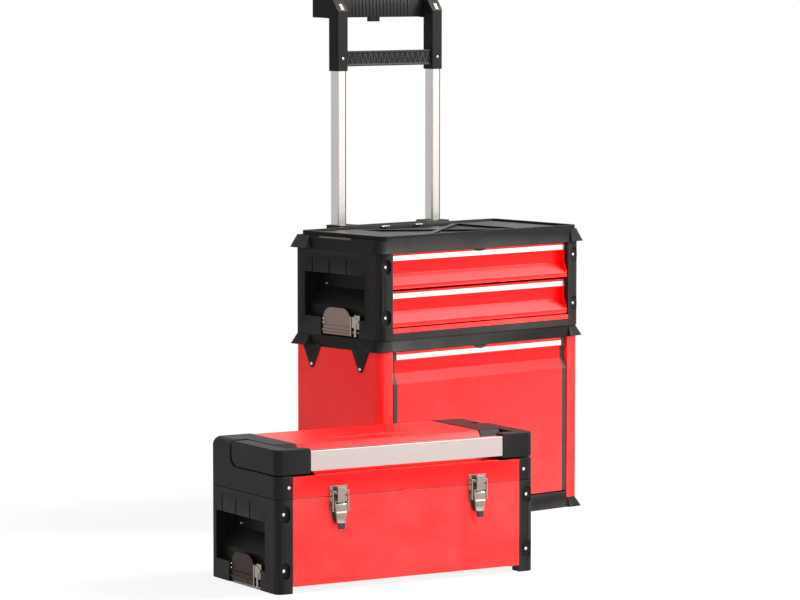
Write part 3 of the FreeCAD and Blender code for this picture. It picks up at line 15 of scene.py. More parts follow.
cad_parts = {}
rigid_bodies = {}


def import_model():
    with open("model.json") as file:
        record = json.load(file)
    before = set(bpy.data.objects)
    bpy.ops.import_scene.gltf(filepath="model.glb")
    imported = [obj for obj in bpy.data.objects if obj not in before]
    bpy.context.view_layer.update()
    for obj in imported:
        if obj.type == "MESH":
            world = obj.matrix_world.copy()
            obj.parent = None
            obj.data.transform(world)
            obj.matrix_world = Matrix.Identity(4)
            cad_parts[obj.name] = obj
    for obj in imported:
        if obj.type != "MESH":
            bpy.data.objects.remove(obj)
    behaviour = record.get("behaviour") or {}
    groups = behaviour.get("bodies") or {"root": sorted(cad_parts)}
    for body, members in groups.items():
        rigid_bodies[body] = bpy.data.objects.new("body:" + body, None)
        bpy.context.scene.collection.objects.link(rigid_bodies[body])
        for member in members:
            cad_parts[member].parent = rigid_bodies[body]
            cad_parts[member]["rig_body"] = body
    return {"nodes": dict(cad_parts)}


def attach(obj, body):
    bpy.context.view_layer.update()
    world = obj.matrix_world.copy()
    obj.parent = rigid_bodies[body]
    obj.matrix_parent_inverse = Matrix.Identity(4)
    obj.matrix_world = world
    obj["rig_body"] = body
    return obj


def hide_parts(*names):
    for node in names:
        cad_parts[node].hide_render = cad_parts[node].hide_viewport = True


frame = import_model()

LOG = logging.getLogger("tool_trolley")
MM = 0.001
CLOUD_SIZE = 0.07  # metres across one cloud of a finish's slow change of shade
SEED = 7  # sets the chance angles of screws and rivets
BRUSH_RUN = 90  # how many times longer than wide a brush mark is
CREASE = 32.0  # edges that turn by more degrees than this are crisp
Point = tuple[float, float, float]


@dataclass(frozen=True)
class Place:
    """Where a module's own frame stands in the object's frame."""

    x: float = 0.0
    y: float = 0.0
    turn: float = 0.0

    def matrix(self) -> Matrix:
        """Takes millimetres in the module's frame to metres in the object's."""
        move = Matrix.Translation((self.x * MM, self.y * MM, 0))
        return move @ Matrix.Rotation(math.radians(self.turn), 4, "Z") @ Matrix.Scale(MM, 4)


TROLLEY = Place()
BESIDE = Place(-530.5, -431.5, -10.5)


class Grain(Enum):
    """How a surface was made, and the fine pattern that this leaves in it."""

    PEEL = "orange peel of a powder coat"
    SPARK = "spark-eroded mould grain"
    ALONG_X = "brushed from side to side"
    ALONG_Y = "brushed from front to back"
    ALONG_Z = "drawn up and down"
    PLATED = "tumbled and plated"
    RUBBED = "rubber with a bloom"


def linear(code: str) -> tuple[float, float, float, float]:
    """Turns an sRGB hex colour to linear light.

    Args:
        code: six hex digits after a hash.

    Returns:
        Red, green, blue and full alpha.
    """
    parts = [int(code[i:i + 2], 16) / 255 for i in (1, 3, 5)]
    red, green, blue = (c / 12.92 if c <= 0.04045 else ((c + 0.055) / 1.055) ** 2.4 for c in parts)
    return red, green, blue, 1.0


def add_node(tree: NodeTree, kind: str, inputs: dict[str | int, object] | None = None,
             **settings: object) -> NodeOutputs:
    """Adds a node with its settings, values and links.

    Args:
        tree: where it goes.
        kind: its type name.
        inputs: values or output sockets, by input name or number.
        **settings: its own properties.

    Returns:
        The node's outputs.
    """
    node = tree.nodes.new(kind)
    for name, value in settings.items():
        setattr(node, name, value)
    for name, value in (inputs or {}).items():
        if isinstance(value, NodeSocket):
            tree.links.new(value, node.inputs[name])
        else:
            node.inputs[name].default_value = value
    return node.outputs


def emptied(owner: Material | World) -> NodeTree:
    """Gives a material's or a world's node tree with nothing in it.

    Args:
        owner: the material or world.

    Returns:
        Its empty tree.
    """
    owner.use_nodes = True
    owner.node_tree.nodes.clear()
    return owner.node_tree


def circle(radius: float, steps: int) -> list[tuple[float, float]]:
    """Even points round a circle, from the first axis on."""
    return [(radius * math.cos(a), radius * math.sin(a)) for a in (2 * math.pi * k / steps for k in range(steps))]


def dome(radius: float, steps: int) -> list[tuple[float, float]]:
    """Even points over half a circle, both ends with it."""
    return [(radius * math.cos(a), math.sin(a)) for a in (math.pi * k / steps for k in range(steps + 1))]


@dataclass(frozen=True)
class Finish:
    """One real material with the way its surface was made.

    The grain is given by its real size, and where that is too fine to show it is drawn a little coarser.
    """

    name: str
    slot: str
    colour: str
    roughness: float
    grain: Grain
    grain_mm: float
    relief_mm: float
    metallic: float = 0.0
    specular: float = 0.5
    shade: float = 0.06
    spread: float = 0.08
    wear: float = 0.0
    turn: float = 0.0

    def grain_size(self) -> Point:
        """The grain's size along the three axes, in metres.

        Returns:
            The three sizes, long along the brushing where there is one.
        """
        fine = self.grain_mm * MM
        run = BRUSH_RUN * fine
        return {
            Grain.ALONG_X: (run, fine, fine),
            Grain.ALONG_Y: (fine, run, fine),
            Grain.ALONG_Z: (fine, fine, run),
        }.get(self.grain, (fine, fine, fine))

    def material(self) -> Material:
        """Gives the material, which is built at the first call.

        Returns:
            The material.
        """
        known = bpy.data.materials.get(self.name)
        if known is not None:
            return known
        made = bpy.data.materials.new(self.name)
        tree = emptied(made)
        where = add_node(tree, "ShaderNodeTexCoord")["Object"]
        turned = (0.0, 0.0, math.radians(self.turn))
        fine = add_node(tree, "ShaderNodeMapping", {"Vector": where, "Rotation": turned, "Scale": self.grain_size()},
                        vector_type="TEXTURE")
        broad = add_node(tree, "ShaderNodeMapping", {"Vector": where, "Scale": (CLOUD_SIZE,) * 3},
                         vector_type="TEXTURE")
        grain = add_node(tree, "ShaderNodeTexNoise",
                         {"Vector": fine[0], "Scale": 1.0, "Detail": 3.0, "Roughness": 0.55})
        cloud = add_node(tree, "ShaderNodeTexNoise",
                         {"Vector": broad[0], "Scale": 1.0, "Detail": 4.0, "Roughness": 0.6})
        base = linear(self.colour)
        dark, pale = (tuple(min(1.0, c * (1 + way * self.shade)) for c in base[:3]) + (1.0,) for way in (-1, 1))
        colour = add_node(tree, "ShaderNodeMix", {"Factor": cloud["Fac"], 6: dark, 7: pale}, data_type="RGBA")[2]
        if self.wear:
            colour = self.worn(tree, colour, cloud["Fac"])
        rough = add_node(tree, "ShaderNodeMapRange",
                         {"Value": grain["Fac"], "From Min": 0.3, "From Max": 0.7,
                          "To Min": max(0.03, self.roughness - self.spread),
                          "To Max": min(1.0, self.roughness + self.spread)})
        bump = add_node(tree, "ShaderNodeBump",
                        {"Height": grain["Fac"], "Strength": 0.6, "Distance": self.relief_mm * MM})
        shader = add_node(tree, "ShaderNodeBsdfPrincipled",
                          {"Base Color": colour, "Metallic": self.metallic, "Roughness": rough[0],
                           "Normal": bump[0], "Specular IOR Level": self.specular})
        add_node(tree, "ShaderNodeOutputMaterial", {"Surface": shader[0]})
        made.diffuse_color = base
        return made

    def worn(self, tree: NodeTree, colour: NodeSocket, cloud: NodeSocket) -> NodeSocket:
        """Lightens raised edges, where hands and other modules rub.

        Args:
            tree: the material's tree.
            colour: the colour before wear.
            cloud: the broad pattern, which breaks the wear up.

        Returns:
            The colour with wear.
        """
        raised = add_node(tree, "ShaderNodeNewGeometry")["Pointiness"]
        edge = add_node(tree, "ShaderNodeMapRange",
                        {"Value": raised, "From Min": 0.53, "From Max": 0.62, "To Min": 0.0, "To Max": self.wear})
        broken = add_node(tree, "ShaderNodeMath", {0: edge[0], 1: cloud}, operation="MULTIPLY")
        rubbed = add_node(tree, "ShaderNodeMix", {"Factor": broken[0], 6: colour, 7: linear("#D8D4D0")},
                          data_type="RGBA")
        return rubbed[2]


# Steel sheet with a gloss powder coat: an even strong red with a soft highlight and faint orange peel.
RED_COAT = Finish("powder_coated_steel_red", "red_enamel", "#F20406", 0.34, Grain.PEEL, 1.6, 0.006,
                  specular=0.16, shade=0.012, spread=0.02, wear=0.2)
# Injection moulded polypropylene: dull black with a fine spark-eroded grain that greys at low angles.
BLACK_PP = Finish("moulded_polypropylene_black", "black_moulding", "#191918", 0.45, Grain.SPARK, 0.9, 0.02,
                  specular=0.07, shade=0.08, spread=0.08, wear=0.1)
# The same plastic polished by the mould at the grip, a little smoother.
GRIP_PP = Finish("moulded_grip_black", "black_moulding", "#181818", 0.42, Grain.SPARK, 0.7, 0.02,
                 specular=0.08, shade=0.08)
# Dark moulded end pieces beside the bin front: dark plastic, tinted red-brown as a painted reflection of the red door
# beside them.
RED_TINTED_PP = Finish("moulded_polypropylene_brown", "black_moulding", "#3A2B29", 0.48, Grain.SPARK, 0.9, 0.04,
                  specular=0.16)
# Bright aluminium strip, brushed along its length, which shows as a nearly white line.
BRIGHT_STRIP = Finish("brushed_aluminium_strip", "bright_strip", "#F4F2EF", 0.3, Grain.ALONG_X, 0.5, 0.01,
                      metallic=1.0, shade=0.02)
# The carrying handle's bar: the same metal in a duller brush, along the box's own length, its colour tinted pink as a
# painted reflection of the red box.
BRIGHT_BAR = Finish("brushed_aluminium_bar", "bright_strip", "#C8B9B5", 0.3, Grain.ALONG_X, 0.5, 0.003,
                    metallic=1.0, shade=0.02, spread=0.04, turn=BESIDE.turn)
# Drawn and anodised tube: satin silver with fine lines up and down.
TUBE_AL = Finish("anodised_aluminium_tube", "tube_aluminium", "#BDB8B5", 0.26, Grain.ALONG_Z, 0.6, 0.0005,
                 metallic=1.0, shade=0.02, spread=0.02)
# A dark, dull finish on the right front corner of each tube: painted shade standing in for the dark reflection along
# that edge.
TUBE_EDGE_SHADE = Finish("dull_die_line", "tube_aluminium", "#4A443C", 0.9, Grain.ALONG_Z, 0.6, 0.0005, specular=0.02,
                  shade=0.02, spread=0.02)
# Nickel plated pressings of the draw latches: warm silver with a soft shine.
NICKEL = Finish("nickel_plated_steel", "zinc_plate", "#9A9186", 0.3, Grain.PLATED, 3.0, 0.002, metallic=1.0,
                shade=0.03, spread=0.03)
# The same plating gone dull on the strips that the next module's catches rub.
DULL_NICKEL = Finish("dulled_nickel_strip", "zinc_plate", "#5C5049", 0.42, Grain.ALONG_Y, 0.6, 0.01, metallic=1.0)
# Zinc plated steel of hinges, runners and axle: cool grey with cloudy spangles.
ZINC = Finish("zinc_plated_steel", "zinc_plate", "#A9A6A0", 0.34, Grain.PLATED, 2.2, 0.02, metallic=1.0,
              shade=0.12)
# Lacquered pressings of the chest's stacking latches: grey brown with a satin shine.
BRONZE = Finish("bronze_lacquered_steel", "brown_plate", "#7A6962", 0.36, Grain.ALONG_Z, 0.5, 0.002, metallic=1.0,
                shade=0.06)
# The same pressings on the carrying box, in a dark brown lacquer.
DARK_BRONZE = Finish("dark_lacquered_steel", "brown_plate", "#2A1A0F", 0.4, Grain.ALONG_Z, 0.5, 0.002,
                     metallic=1.0, shade=0.08)
# Bright plated screws and rivets.
SCREW = Finish("bright_plated_screw", "screw_steel", "#E9E8E6", 0.18, Grain.PLATED, 1.2, 0.01, metallic=1.0)
# Vulcanised rubber: nearly black, dull, with a grey bloom.
RUBBER = Finish("vulcanised_rubber", "tyre_rubber", "#232322", 0.72, Grain.RUBBED, 1.4, 0.08, specular=0.35,
                shade=0.2, wear=0.12)


class Sketch:
    """Collects faces in millimetres in one module's frame and turns them into a finished piece."""

    def __init__(self, place: Place = TROLLEY) -> None:
        """Starts an empty mesh.

        Args:
            place: the module's frame.
        """
        self.place = place
        self.work = bmesh.new()

    def block(self, low: Point, high: Point) -> "Sketch":
        """Adds a plain block between two corners."""
        (left, front, floor), (right, back, top) = low, high
        return self.prism("Z", (floor, top), [(left, front), (right, front), (right, back), (left, back)])

    def bridge(self, rings: Sequence[Sequence[BMVert]], closed: bool = False,
               caps: Iterable[int] = (0, -1)) -> "Sketch":
        """Joins rings of corners by faces.

        Args:
            rings: the rings in order; a ring of one corner makes a point.
            closed: whether the last ring joins the first, as round a tyre.
            caps: which rings get a face across them.

        Returns:
            This sketch.
        """
        steps = max(len(ring) for ring in rings)
        for near, far in zip(rings, [*rings[1:], rings[0]] if closed else rings[1:]):
            for k in range(steps):
                j = (k + 1) % steps
                corners = (near[k % len(near)], far[k % len(far)], far[j % len(far)], near[j % len(near)])
                self.work.faces.new(list(dict.fromkeys(corners)))
        for ring in () if closed else [rings[i] for i in caps]:
            if len(ring) > 1:
                self.work.faces.new(ring)
        return self

    def prism(self, axis: str, span: tuple[float, float], outline: Sequence[tuple[float, float]]) -> "Sketch":
        """Adds an outline drawn across an axis and run along it.

        Args:
            axis: X, Y or Z; the outline's two numbers are the other two axes in order.
            span: where the run starts and ends.
            outline: the corners in order.

        Returns:
            This sketch.
        """
        spot = "XYZ".index(axis)
        return self.bridge([[self.work.verts.new((*pair[:spot], depth, *pair[spot:])) for pair in outline]
                            for depth in span])

    def turned(self, axis: str, centre: Point, profile: Sequence[tuple[float, float]], steps: int,
               closed: bool = False) -> "Sketch":
        """Adds a turned form about a line through its centre.

        Args:
            axis: X, Y or Z.
            centre: a point on the line.
            profile: pairs of distance along the line and radius.
            steps: how many flats go round.
            closed: whether the profile runs back to its start, as round a tyre.

        Returns:
            This sketch.
        """
        spot = "XYZ".index(axis)
        rings = []
        for along, radius in profile:
            offsets = [(*pair[:spot], along, *pair[spot:]) for pair in circle(radius, steps if radius else 1)]
            rings.append([self.work.verts.new(Vector(centre) + Vector(offset)) for offset in offsets])
        return self.bridge(rings, closed)

    def hull(self, points: Iterable[Point]) -> "Sketch":
        """Adds the smallest closed form round some corners, such as a tapered pressing."""
        bmesh.ops.convex_hull(self.work, input=[self.work.verts.new(p) for p in points])
        return self

    def cast(self, name: str) -> Object:
        """Places the faces in the object's frame, in metres, with their fronts outwards.

        Args:
            name: the new object's name.

        Returns:
            The object, at the origin.
        """
        bmesh.ops.transform(self.work, matrix=self.place.matrix(), verts=self.work.verts)
        bmesh.ops.remove_doubles(self.work, verts=self.work.verts, dist=1e-7)
        bmesh.ops.recalc_face_normals(self.work, faces=self.work.faces)
        return cast(name, self.work)


def show(name: str, data: ID) -> Object:
    """Puts a mesh, a lamp or a camera in the scene as an object at the origin.

    Args:
        name: the object's name.
        data: the mesh, lamp or camera.

    Returns:
        The object.
    """
    item = bpy.data.objects.new(name, data)
    bpy.context.scene.collection.objects.link(item)
    return item


def cast(name: str, work: BMesh) -> Object:
    """Turns faces into an object at the origin, which ends them.

    Args:
        name: the object's name.
        work: the faces, freed here.

    Returns:
        The object.
    """
    mesh = bpy.data.meshes.new(name)
    work.to_mesh(mesh)
    work.free()
    return show(name, mesh)


def settle(item: Object) -> Object:
    """Replaces an object's mesh by what its modifiers make of it, and removes them.

    Args:
        item: the object, at the origin.

    Returns:
        The same object with a plain mesh.
    """
    bpy.context.view_layer.update()
    seen = item.evaluated_get(bpy.context.evaluated_depsgraph_get())
    plain = bpy.data.meshes.new_from_object(seen)
    item.modifiers.clear()
    old, item.data = item.data, plain
    plain.name = item.name
    bpy.data.meshes.remove(old)
    return item


def smooth(mesh: Mesh, angle: float = CREASE) -> None:
    """Shades a mesh smooth, with edges sharper than an angle kept crisp."""
    mesh.shade_smooth()
    mesh.set_sharp_from_angle(angle=math.radians(angle))


def even(item: Object, angle: float = CREASE) -> None:
    """Shades a piece so that its flats stay flat and only its rounded edges turn.

    Args:
        item: the piece.
        angle: edges sharper than this many degrees stay crisp.
    """
    smooth(item.data, angle)
    weighted = item.modifiers.new("flats", "WEIGHTED_NORMAL")
    weighted.keep_sharp = True
    weighted.weight = 100
    settle(item)


def dress(item: Object, body: str, finish: Finish, *stands_for: str) -> Object:
    """Gives a piece its finish, the body that it rides on and the CAD nodes that it stands for.

    Args:
        item: the piece.
        body: the CAD body that it moves with.
        finish: its material.
        *stands_for: the CAD nodes that it replaces.

    Returns:
        The piece.
    """
    if not item.data.materials:
        item.data.materials.append(finish.material())
    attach(item, body)
    if stands_for:
        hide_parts(*stands_for)
    LOG.info("%s rides on %s in %s, %d faces", item.name, body, finish.name, len(item.data.polygons))
    return item


def body_of(node: str) -> str:
    """The body that a CAD node moves with."""
    return frame["nodes"][node]["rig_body"]


def make(name: str, sketch: Sketch, body: str, finish: Finish, *stands_for: str, round_mm: float = 0.4,
         steps: int = 2) -> Object:
    """Makes a sketch into a finished piece with rounded edges.

    Args:
        name: the piece's name.
        sketch: its faces.
        body: the CAD body that it moves with.
        finish: its material.
        *stands_for: the CAD nodes that it replaces.
        round_mm: the radius of its edges; 0 leaves them sharp.
        steps: how many flats each rounded edge has.

    Returns:
        The piece.
    """
    item = sketch.cast(name)
    if round_mm:
        ease(item, round_mm, steps)
    even(item)
    return dress(item, body, finish, *stands_for)


def ease(item: Object, round_mm: float, steps: int = 2, angle: float = CREASE, clamp: bool = False) -> None:
    """Rounds an object's sharp edges.

    Args:
        item: the object.
        round_mm: the radius.
        steps: how many flats go over the edge.
        angle: edges flatter than this many degrees stay.
        clamp: whether the radius shrinks where edges lie close together.
    """
    bevel = item.modifiers.new("edges", "BEVEL")
    bevel.width = round_mm * MM
    bevel.segments = steps
    bevel.limit_method = "ANGLE"
    bevel.angle_limit = math.radians(angle)
    bevel.use_clamp_overlap = clamp
    settle(item)


def merged(node: str, flats: bool = True) -> BMesh:
    """A CAD node's faces with their shared corners joined and flat areas made one face.

    Args:
        node: the CAD node's name.
        flats: whether flat areas are joined, which a face round a raised pattern can't be.

    Returns:
        The faces, in metres.
    """
    source = frame["nodes"][node].data
    work = bmesh.new()
    spots = [work.verts.new(v.co) for v in source.vertices]
    for face in source.polygons:
        work.faces.new([spots[i] for i in face.vertices])
    bmesh.ops.remove_doubles(work, verts=work.verts, dist=2e-6)
    loose = [v for v in work.verts if not v.link_faces]
    bmesh.ops.delete(work, geom=loose, context="VERTS")
    if flats:
        bmesh.ops.dissolve_limit(work, angle_limit=math.radians(0.4), verts=work.verts, edges=work.edges)
    return work


def skin(finish: Finish, round_mm: float, *nodes: str, steps: int = 2, angle: float = CREASE, flats: bool = True,
         clamp: bool = False) -> None:
    """Makes pieces of CAD nodes' own shapes, with the rounded edges that the real ones have.

    Args:
        finish: their material.
        round_mm: the radius of their edges.
        *nodes: the CAD nodes that they stand for.
        steps: how many flats each rounded edge has.
        angle: edges flatter than this many degrees stay.
        flats: whether flat areas become one face first.
        clamp: whether the radius shrinks where edges lie close together.
    """
    for node in nodes:
        item = cast(f"{node}_skin", merged(node, flats))
        ease(item, round_mm, steps, angle, clamp)
        even(item, angle)
        dress(item, body_of(node), finish, node)


@dataclass(frozen=True)
class Span:
    """The box of one separate solid in a module's frame, in millimetres."""

    low: Vector
    high: Vector

    @classmethod
    def round(cls, spots: Iterable[Vector]) -> "Span":
        """The smallest box round some points."""
        axes = list(zip(*spots))
        return cls(Vector([min(axis) for axis in axes]), Vector([max(axis) for axis in axes]))

    def centre(self) -> Vector:
        """The middle of the box."""
        return (self.low + self.high) / 2

    def size(self) -> Vector:
        """The box's width, depth and height."""
        return self.high - self.low


def solids(node: str, place: Place = TROLLEY) -> list[Span]:
    """Finds the separate solids of a CAD node.

    Args:
        node: the CAD node's name.
        place: the module's frame.

    Returns:
        The box of each solid.
    """
    work = merged(node)
    bmesh.ops.transform(work, matrix=place.matrix().inverted(), verts=work.verts)
    left = set(work.verts)
    found = []
    while left:
        group = [left.pop()]
        for spot in group:
            near = {edge.other_vert(spot) for edge in spot.link_edges} & left
            left -= near
            group += near
        found.append(Span.round(v.co for v in group))
    work.free()
    return sorted(found, key=lambda s: tuple(round(c, 1) for c in s.centre()))


def span_of(node: str, place: Place = TROLLEY) -> Span:
    """The box of a whole CAD node in a module's frame, in millimetres."""
    back = place.matrix().inverted()
    return Span.round(back @ v.co for v in frame["nodes"][node].data.vertices)


class Blueprint:
    """A Geometry Nodes tree with named inputs, which grows plain meshes."""

    def __init__(self, name: str, **asks: str) -> None:
        """Starts the tree.

        Args:
            name: the tree's name.
            **asks: each further input's name and socket type; an underscore in a name stands for a space.
        """
        self.tree = bpy.data.node_groups.new(name, "GeometryNodeTree")
        face = self.tree.interface
        face.new_socket("Geometry", in_out="INPUT", socket_type="NodeSocketGeometry")
        face.new_socket("Geometry", in_out="OUTPUT", socket_type="NodeSocketGeometry")
        for ask, kind in {**asks, "Finish": "Material"}.items():
            face.new_socket(ask.replace("_", " "), in_out="INPUT", socket_type=f"NodeSocket{kind}")
        self.given = add_node(self.tree, "NodeGroupInput")

    def scatter(self, points: NodeSocket, **turned: NodeSocket) -> NodeSocket:
        """Sets the template that the tree asks for on points.

        Args:
            points: where it goes.
            **turned: its Rotation at each point, where that isn't nought.

        Returns:
            The instances.
        """
        shape = add_node(self.tree, "GeometryNodeObjectInfo", {"Object": self.given["Template"]})["Geometry"]
        return add_node(self.tree, "GeometryNodeInstanceOnPoints", {"Points": points, "Instance": shape, **turned})[0]

    def close(self, geometry: NodeSocket) -> "Blueprint":
        """Ends the tree: instances become real, take their material and leave.

        Args:
            geometry: what the tree has made.

        Returns:
            This blueprint.
        """
        real = add_node(self.tree, "GeometryNodeRealizeInstances", {"Geometry": geometry})[0]
        coated = add_node(self.tree, "GeometryNodeSetMaterial", {"Geometry": real, "Material": self.given["Finish"]})
        add_node(self.tree, "NodeGroupOutput", {"Geometry": coated[0]})
        return self

    def grow(self, name: str, finish: Finish, mesh: Mesh | None = None, **values: object) -> Object:
        """Runs the tree on a mesh and keeps the result as a plain mesh.

        Args:
            name: the new piece's name.
            finish: its material.
            mesh: what the tree starts from, or None for nothing.
            **values: the inputs' values, with an underscore for a space; a template is removed at the end.

        Returns:
            The piece.
        """
        item = show(name, mesh or bpy.data.meshes.new(name))
        grower = item.modifiers.new("grow", "NODES")
        grower.node_group = self.tree
        known = {s.name: s.identifier for s in self.tree.interface.items_tree if s.in_out == "INPUT"}
        for key, value in {**values, "Finish": finish.material()}.items():
            grower[known[key.replace("_", " ")]] = value
        settle(item)
        if "Template" in values:
            bpy.data.objects.remove(values["Template"])
        return item


def fastener_tree() -> Blueprint:
    """Sets a template on each point, turned to its facing and by a chance angle.

    Returns:
        The blueprint, with the template and a seed as inputs.
    """
    plan = Blueprint("fasteners_on_points", Template="Object", Seed="Int")
    tree, given = plan.tree, plan.given
    facing = add_node(tree, "GeometryNodeInputNamedAttribute", {"Name": "facing"}, data_type="FLOAT_VECTOR")
    aimed = add_node(tree, "FunctionNodeAlignRotationToVector", {"Vector": facing[0]}, axis="Z")
    chance = add_node(tree, "FunctionNodeRandomValue", {2: 0.0, 3: math.pi, 8: given["Seed"]}, data_type="FLOAT")
    spin = add_node(tree, "FunctionNodeAxisAngleToRotation", {"Axis": (0.0, 0.0, 1.0), "Angle": chance[1]})
    turned = add_node(tree, "FunctionNodeRotateRotation", {"Rotation": aimed[0], "Rotate By": spin[0]},
                      rotation_space="LOCAL")
    return plan.close(plan.scatter(given["Geometry"], Rotation=turned[0]))


def row_tree() -> Blueprint:
    """Sets a template at even steps along a line, such as the ribs of a grip.

    Returns:
        The blueprint, with the template, count, start and step as inputs.
    """
    plan = Blueprint("ribs_in_a_row", Template="Object", Count="Int", Start="Vector", Step="Vector")
    given = plan.given
    line = add_node(plan.tree, "GeometryNodeMeshLine",
                    {"Count": given["Count"], "Start Location": given["Start"], "Offset": given["Step"]},
                    mode="OFFSET")
    return plan.close(plan.scatter(line[0]))


def ring_tree() -> Blueprint:
    """Sets a template at even steps round an axle, such as a tyre's tread blocks.

    Returns:
        The blueprint, with the template, count, radius and centre as inputs.
    """
    plan = Blueprint("blocks_in_a_ring", Template="Object", Count="Int", Radius="Float", Centre="Vector")
    tree, given = plan.tree, plan.given
    ring = add_node(tree, "GeometryNodeMeshCircle", {"Vertices": given["Count"], "Radius": given["Radius"]})
    outward = add_node(tree, "GeometryNodeInputPosition")[0]
    aimed = add_node(tree, "FunctionNodeAlignRotationToVector", {"Vector": outward}, axis="X")
    placed = plan.scatter(ring[0], Rotation=aimed[0])
    real = add_node(tree, "GeometryNodeRealizeInstances", {"Geometry": placed})
    upright = add_node(tree, "GeometryNodeTransform", {"Geometry": real[0], "Translation": given["Centre"],
                                                       "Rotation": (0.0, math.pi / 2, 0.0)})
    return plan.close(upright[0])


def tube_tree() -> Blueprint:
    """Draws a closed tube with a rounded section along an upright line.

    Returns:
        The blueprint, with both ends, the section's sizes and its rounding as inputs.
    """
    plan = Blueprint("drawn_tube", Foot="Vector", Head="Vector", Width="Float", Depth="Float", Rounding="Float")
    tree, given = plan.tree, plan.given
    line = add_node(tree, "GeometryNodeCurvePrimitiveLine", {"Start": given["Foot"], "End": given["Head"]})
    section = add_node(tree, "GeometryNodeCurvePrimitiveQuadrilateral",
                       {"Width": given["Width"], "Height": given["Depth"]})
    soft = add_node(tree, "GeometryNodeFilletCurve",
                    {"Curve": section[0], "Radius": given["Rounding"], "Count": 12}, mode="POLY")
    solid = add_node(tree, "GeometryNodeCurveToMesh",
                     {"Curve": line[0], "Profile Curve": soft[0], "Fill Caps": True})
    return plan.close(solid[0])


FASTENERS = fastener_tree()
ROWS = row_tree()
RINGS = ring_tree()
TUBES = tube_tree()


def screw_head(radius: float, height: float) -> Object:
    """Makes the template of a cross-recess screw head, standing on the origin.

    Args:
        radius: the head's radius in millimetres.
        height: the head's height in millimetres.

    Returns:
        The template.
    """
    sketch = Sketch()
    work = sketch.work
    rings = [[work.verts.new((x, y, height * rise)) for x, y in circle(radius * share, 20)]
             for share, rise in ((1.0, 0.0), (1.0, 0.35), (0.86, 0.78), (0.6, 1.0))]
    arm, slim = radius * 0.46, radius * 0.13
    cross = [(arm, -slim), (arm, slim), (slim, slim), (slim, arm), (-slim, arm), (-slim, slim), (-arm, slim),
             (-arm, -slim), (-slim, -slim), (-slim, -arm), (slim, -arm), (slim, -slim)]
    mouth, floor = ([work.verts.new((x * share, y * share, height * rise)) for x, y in cross]
                    for share, rise in ((1.0, 1.0), (0.8, 0.35)))
    sketch.bridge(rings, caps=(0,)).bridge([mouth, floor], caps=(-1,))
    rims = [work.edges.get((ring[k - 1], ring[k])) for ring in (mouth, rings[-1]) for k in range(len(ring))]
    bmesh.ops.triangle_fill(work, edges=rims, use_beauty=True)
    return template("screw_head", sketch)


def template(name: str, sketch: Sketch) -> Object:
    """Turns a sketch into a smoothly shaded object, for a tree to repeat.

    Args:
        name: the template's name.
        sketch: its faces.

    Returns:
        The template.
    """
    item = sketch.cast(name)
    smooth(item.data)
    return item


def rivet_head(radius: float, height: float) -> Object:
    """Makes the template of a plain domed rivet head."""
    profile = [(0, 0), (0, radius), (height * 0.4, radius * 0.94), (height * 0.8, radius * 0.6), (height, 0)]
    return template("rivet_head", Sketch().turned("Z", (0, 0, 0), profile, 16))


def fasten(name: str, spots: Sequence[tuple[Vector, Vector]], place: Place, head: Object, body: str,
           finish: Finish, *stands_for: str) -> Object:
    """Sets heads on points, each turned to face the way it is driven from.

    Args:
        name: the new piece's name.
        spots: pairs of seat and facing, in millimetres in the module's frame.
        place: the module's frame.
        head: the head's template, which is used up.
        body: the CAD body that the heads move with.
        finish: their material.
        *stands_for: the CAD nodes that they replace.

    Returns:
        The piece.
    """
    matrix = place.matrix()
    mesh = bpy.data.meshes.new(name)
    mesh.from_pydata([matrix @ seat for seat, _ in spots], [], [])
    facing = mesh.attributes.new("facing", "FLOAT_VECTOR", "POINT")
    for index, (_, way) in enumerate(spots):
        facing.data[index].vector = matrix.to_3x3() @ way * (1 / MM)
    return dress(FASTENERS.grow(name, finish, mesh, Template=head, Seed=SEED), body, finish, *stands_for)


def heads_on(node: str, place: Place = TROLLEY, way: Vector | None = None) -> Object:
    """Replaces a CAD node of plain screws by small cross-recess heads in the same places.

    Args:
        node: the CAD node of screws.
        place: the module's frame.
        way: where they face, or None for sideways away from the middle.

    Returns:
        The piece.
    """
    spots = []
    for span in solids(node, place):
        seat = span.centre()
        side = way or Vector((math.copysign(1, seat.x), 0, 0))
        axis = max(range(3), key=lambda i: abs(side[i]))
        height = span.size()[axis]
        seat[axis] -= side[axis] * height / 2
        spots.append((seat, side))
    return fasten(f"{node}_heads", spots, place, screw_head(SMALL_HEAD, height), body_of(node), SCREW, node)


FRONT = Vector((0, -1, 0))
SMALL_HEAD = 2.7


def painted_notch_shadow(node: str, strip: str) -> None:
    """Adds a small flat black piece at the middle of a folded front, above its bright strip: painted shadow standing
    in for the finger notch.

    Args:
        node: the CAD node of the front.
        strip: the CAD node of its bright strip.
    """
    bright = span_of(strip)
    top, low = span_of(node).high.z - 0.2, bright.high.z - 1.2
    points = [(x, top + (low - top) * drop) for x, drop in dome(14, 10)]
    # A thin black dome-shaped plate: painted shadow of the finger notch's recess.
    notch = Sketch().prism("Y", (bright.low.y - 0.15, bright.low.y + 1), points)
    make(f"{node}_notch", notch, body_of(node), BLACK_PP, round_mm=0)


@dataclass
class LowerChest:
    """The wheeled chest at the bottom, with its tilting bin."""

    moulding_round: float = 1.1
    sheet_round: float = 0.5
    fold_angle: float = 15

    def build(self) -> None:
        """Dresses the case, the collar and the bin."""
        skin(BLACK_PP, self.moulding_round, "base_frame", clamp=True)
        skin(RED_COAT, self.sheet_round, "lower_shell")
        skin(BLACK_PP, self.sheet_round, "lower_back")
        skin(BLACK_PP, self.moulding_round, "top_collar", clamp=True)
        heads_on("collar_screws")
        skin(RED_COAT, self.sheet_round, "bin_door", angle=self.fold_angle)
        skin(BRIGHT_STRIP, 0.2, "bin_strip")
        # The end caps' red-brown tint is a painted reflection of the red door.
        skin(RED_TINTED_PP, self.sheet_round, "bin_end_caps", angle=self.fold_angle)
        skin(BLACK_PP, 0.8, "bin_tub")
        painted_notch_shadow("bin_door", "bin_strip")


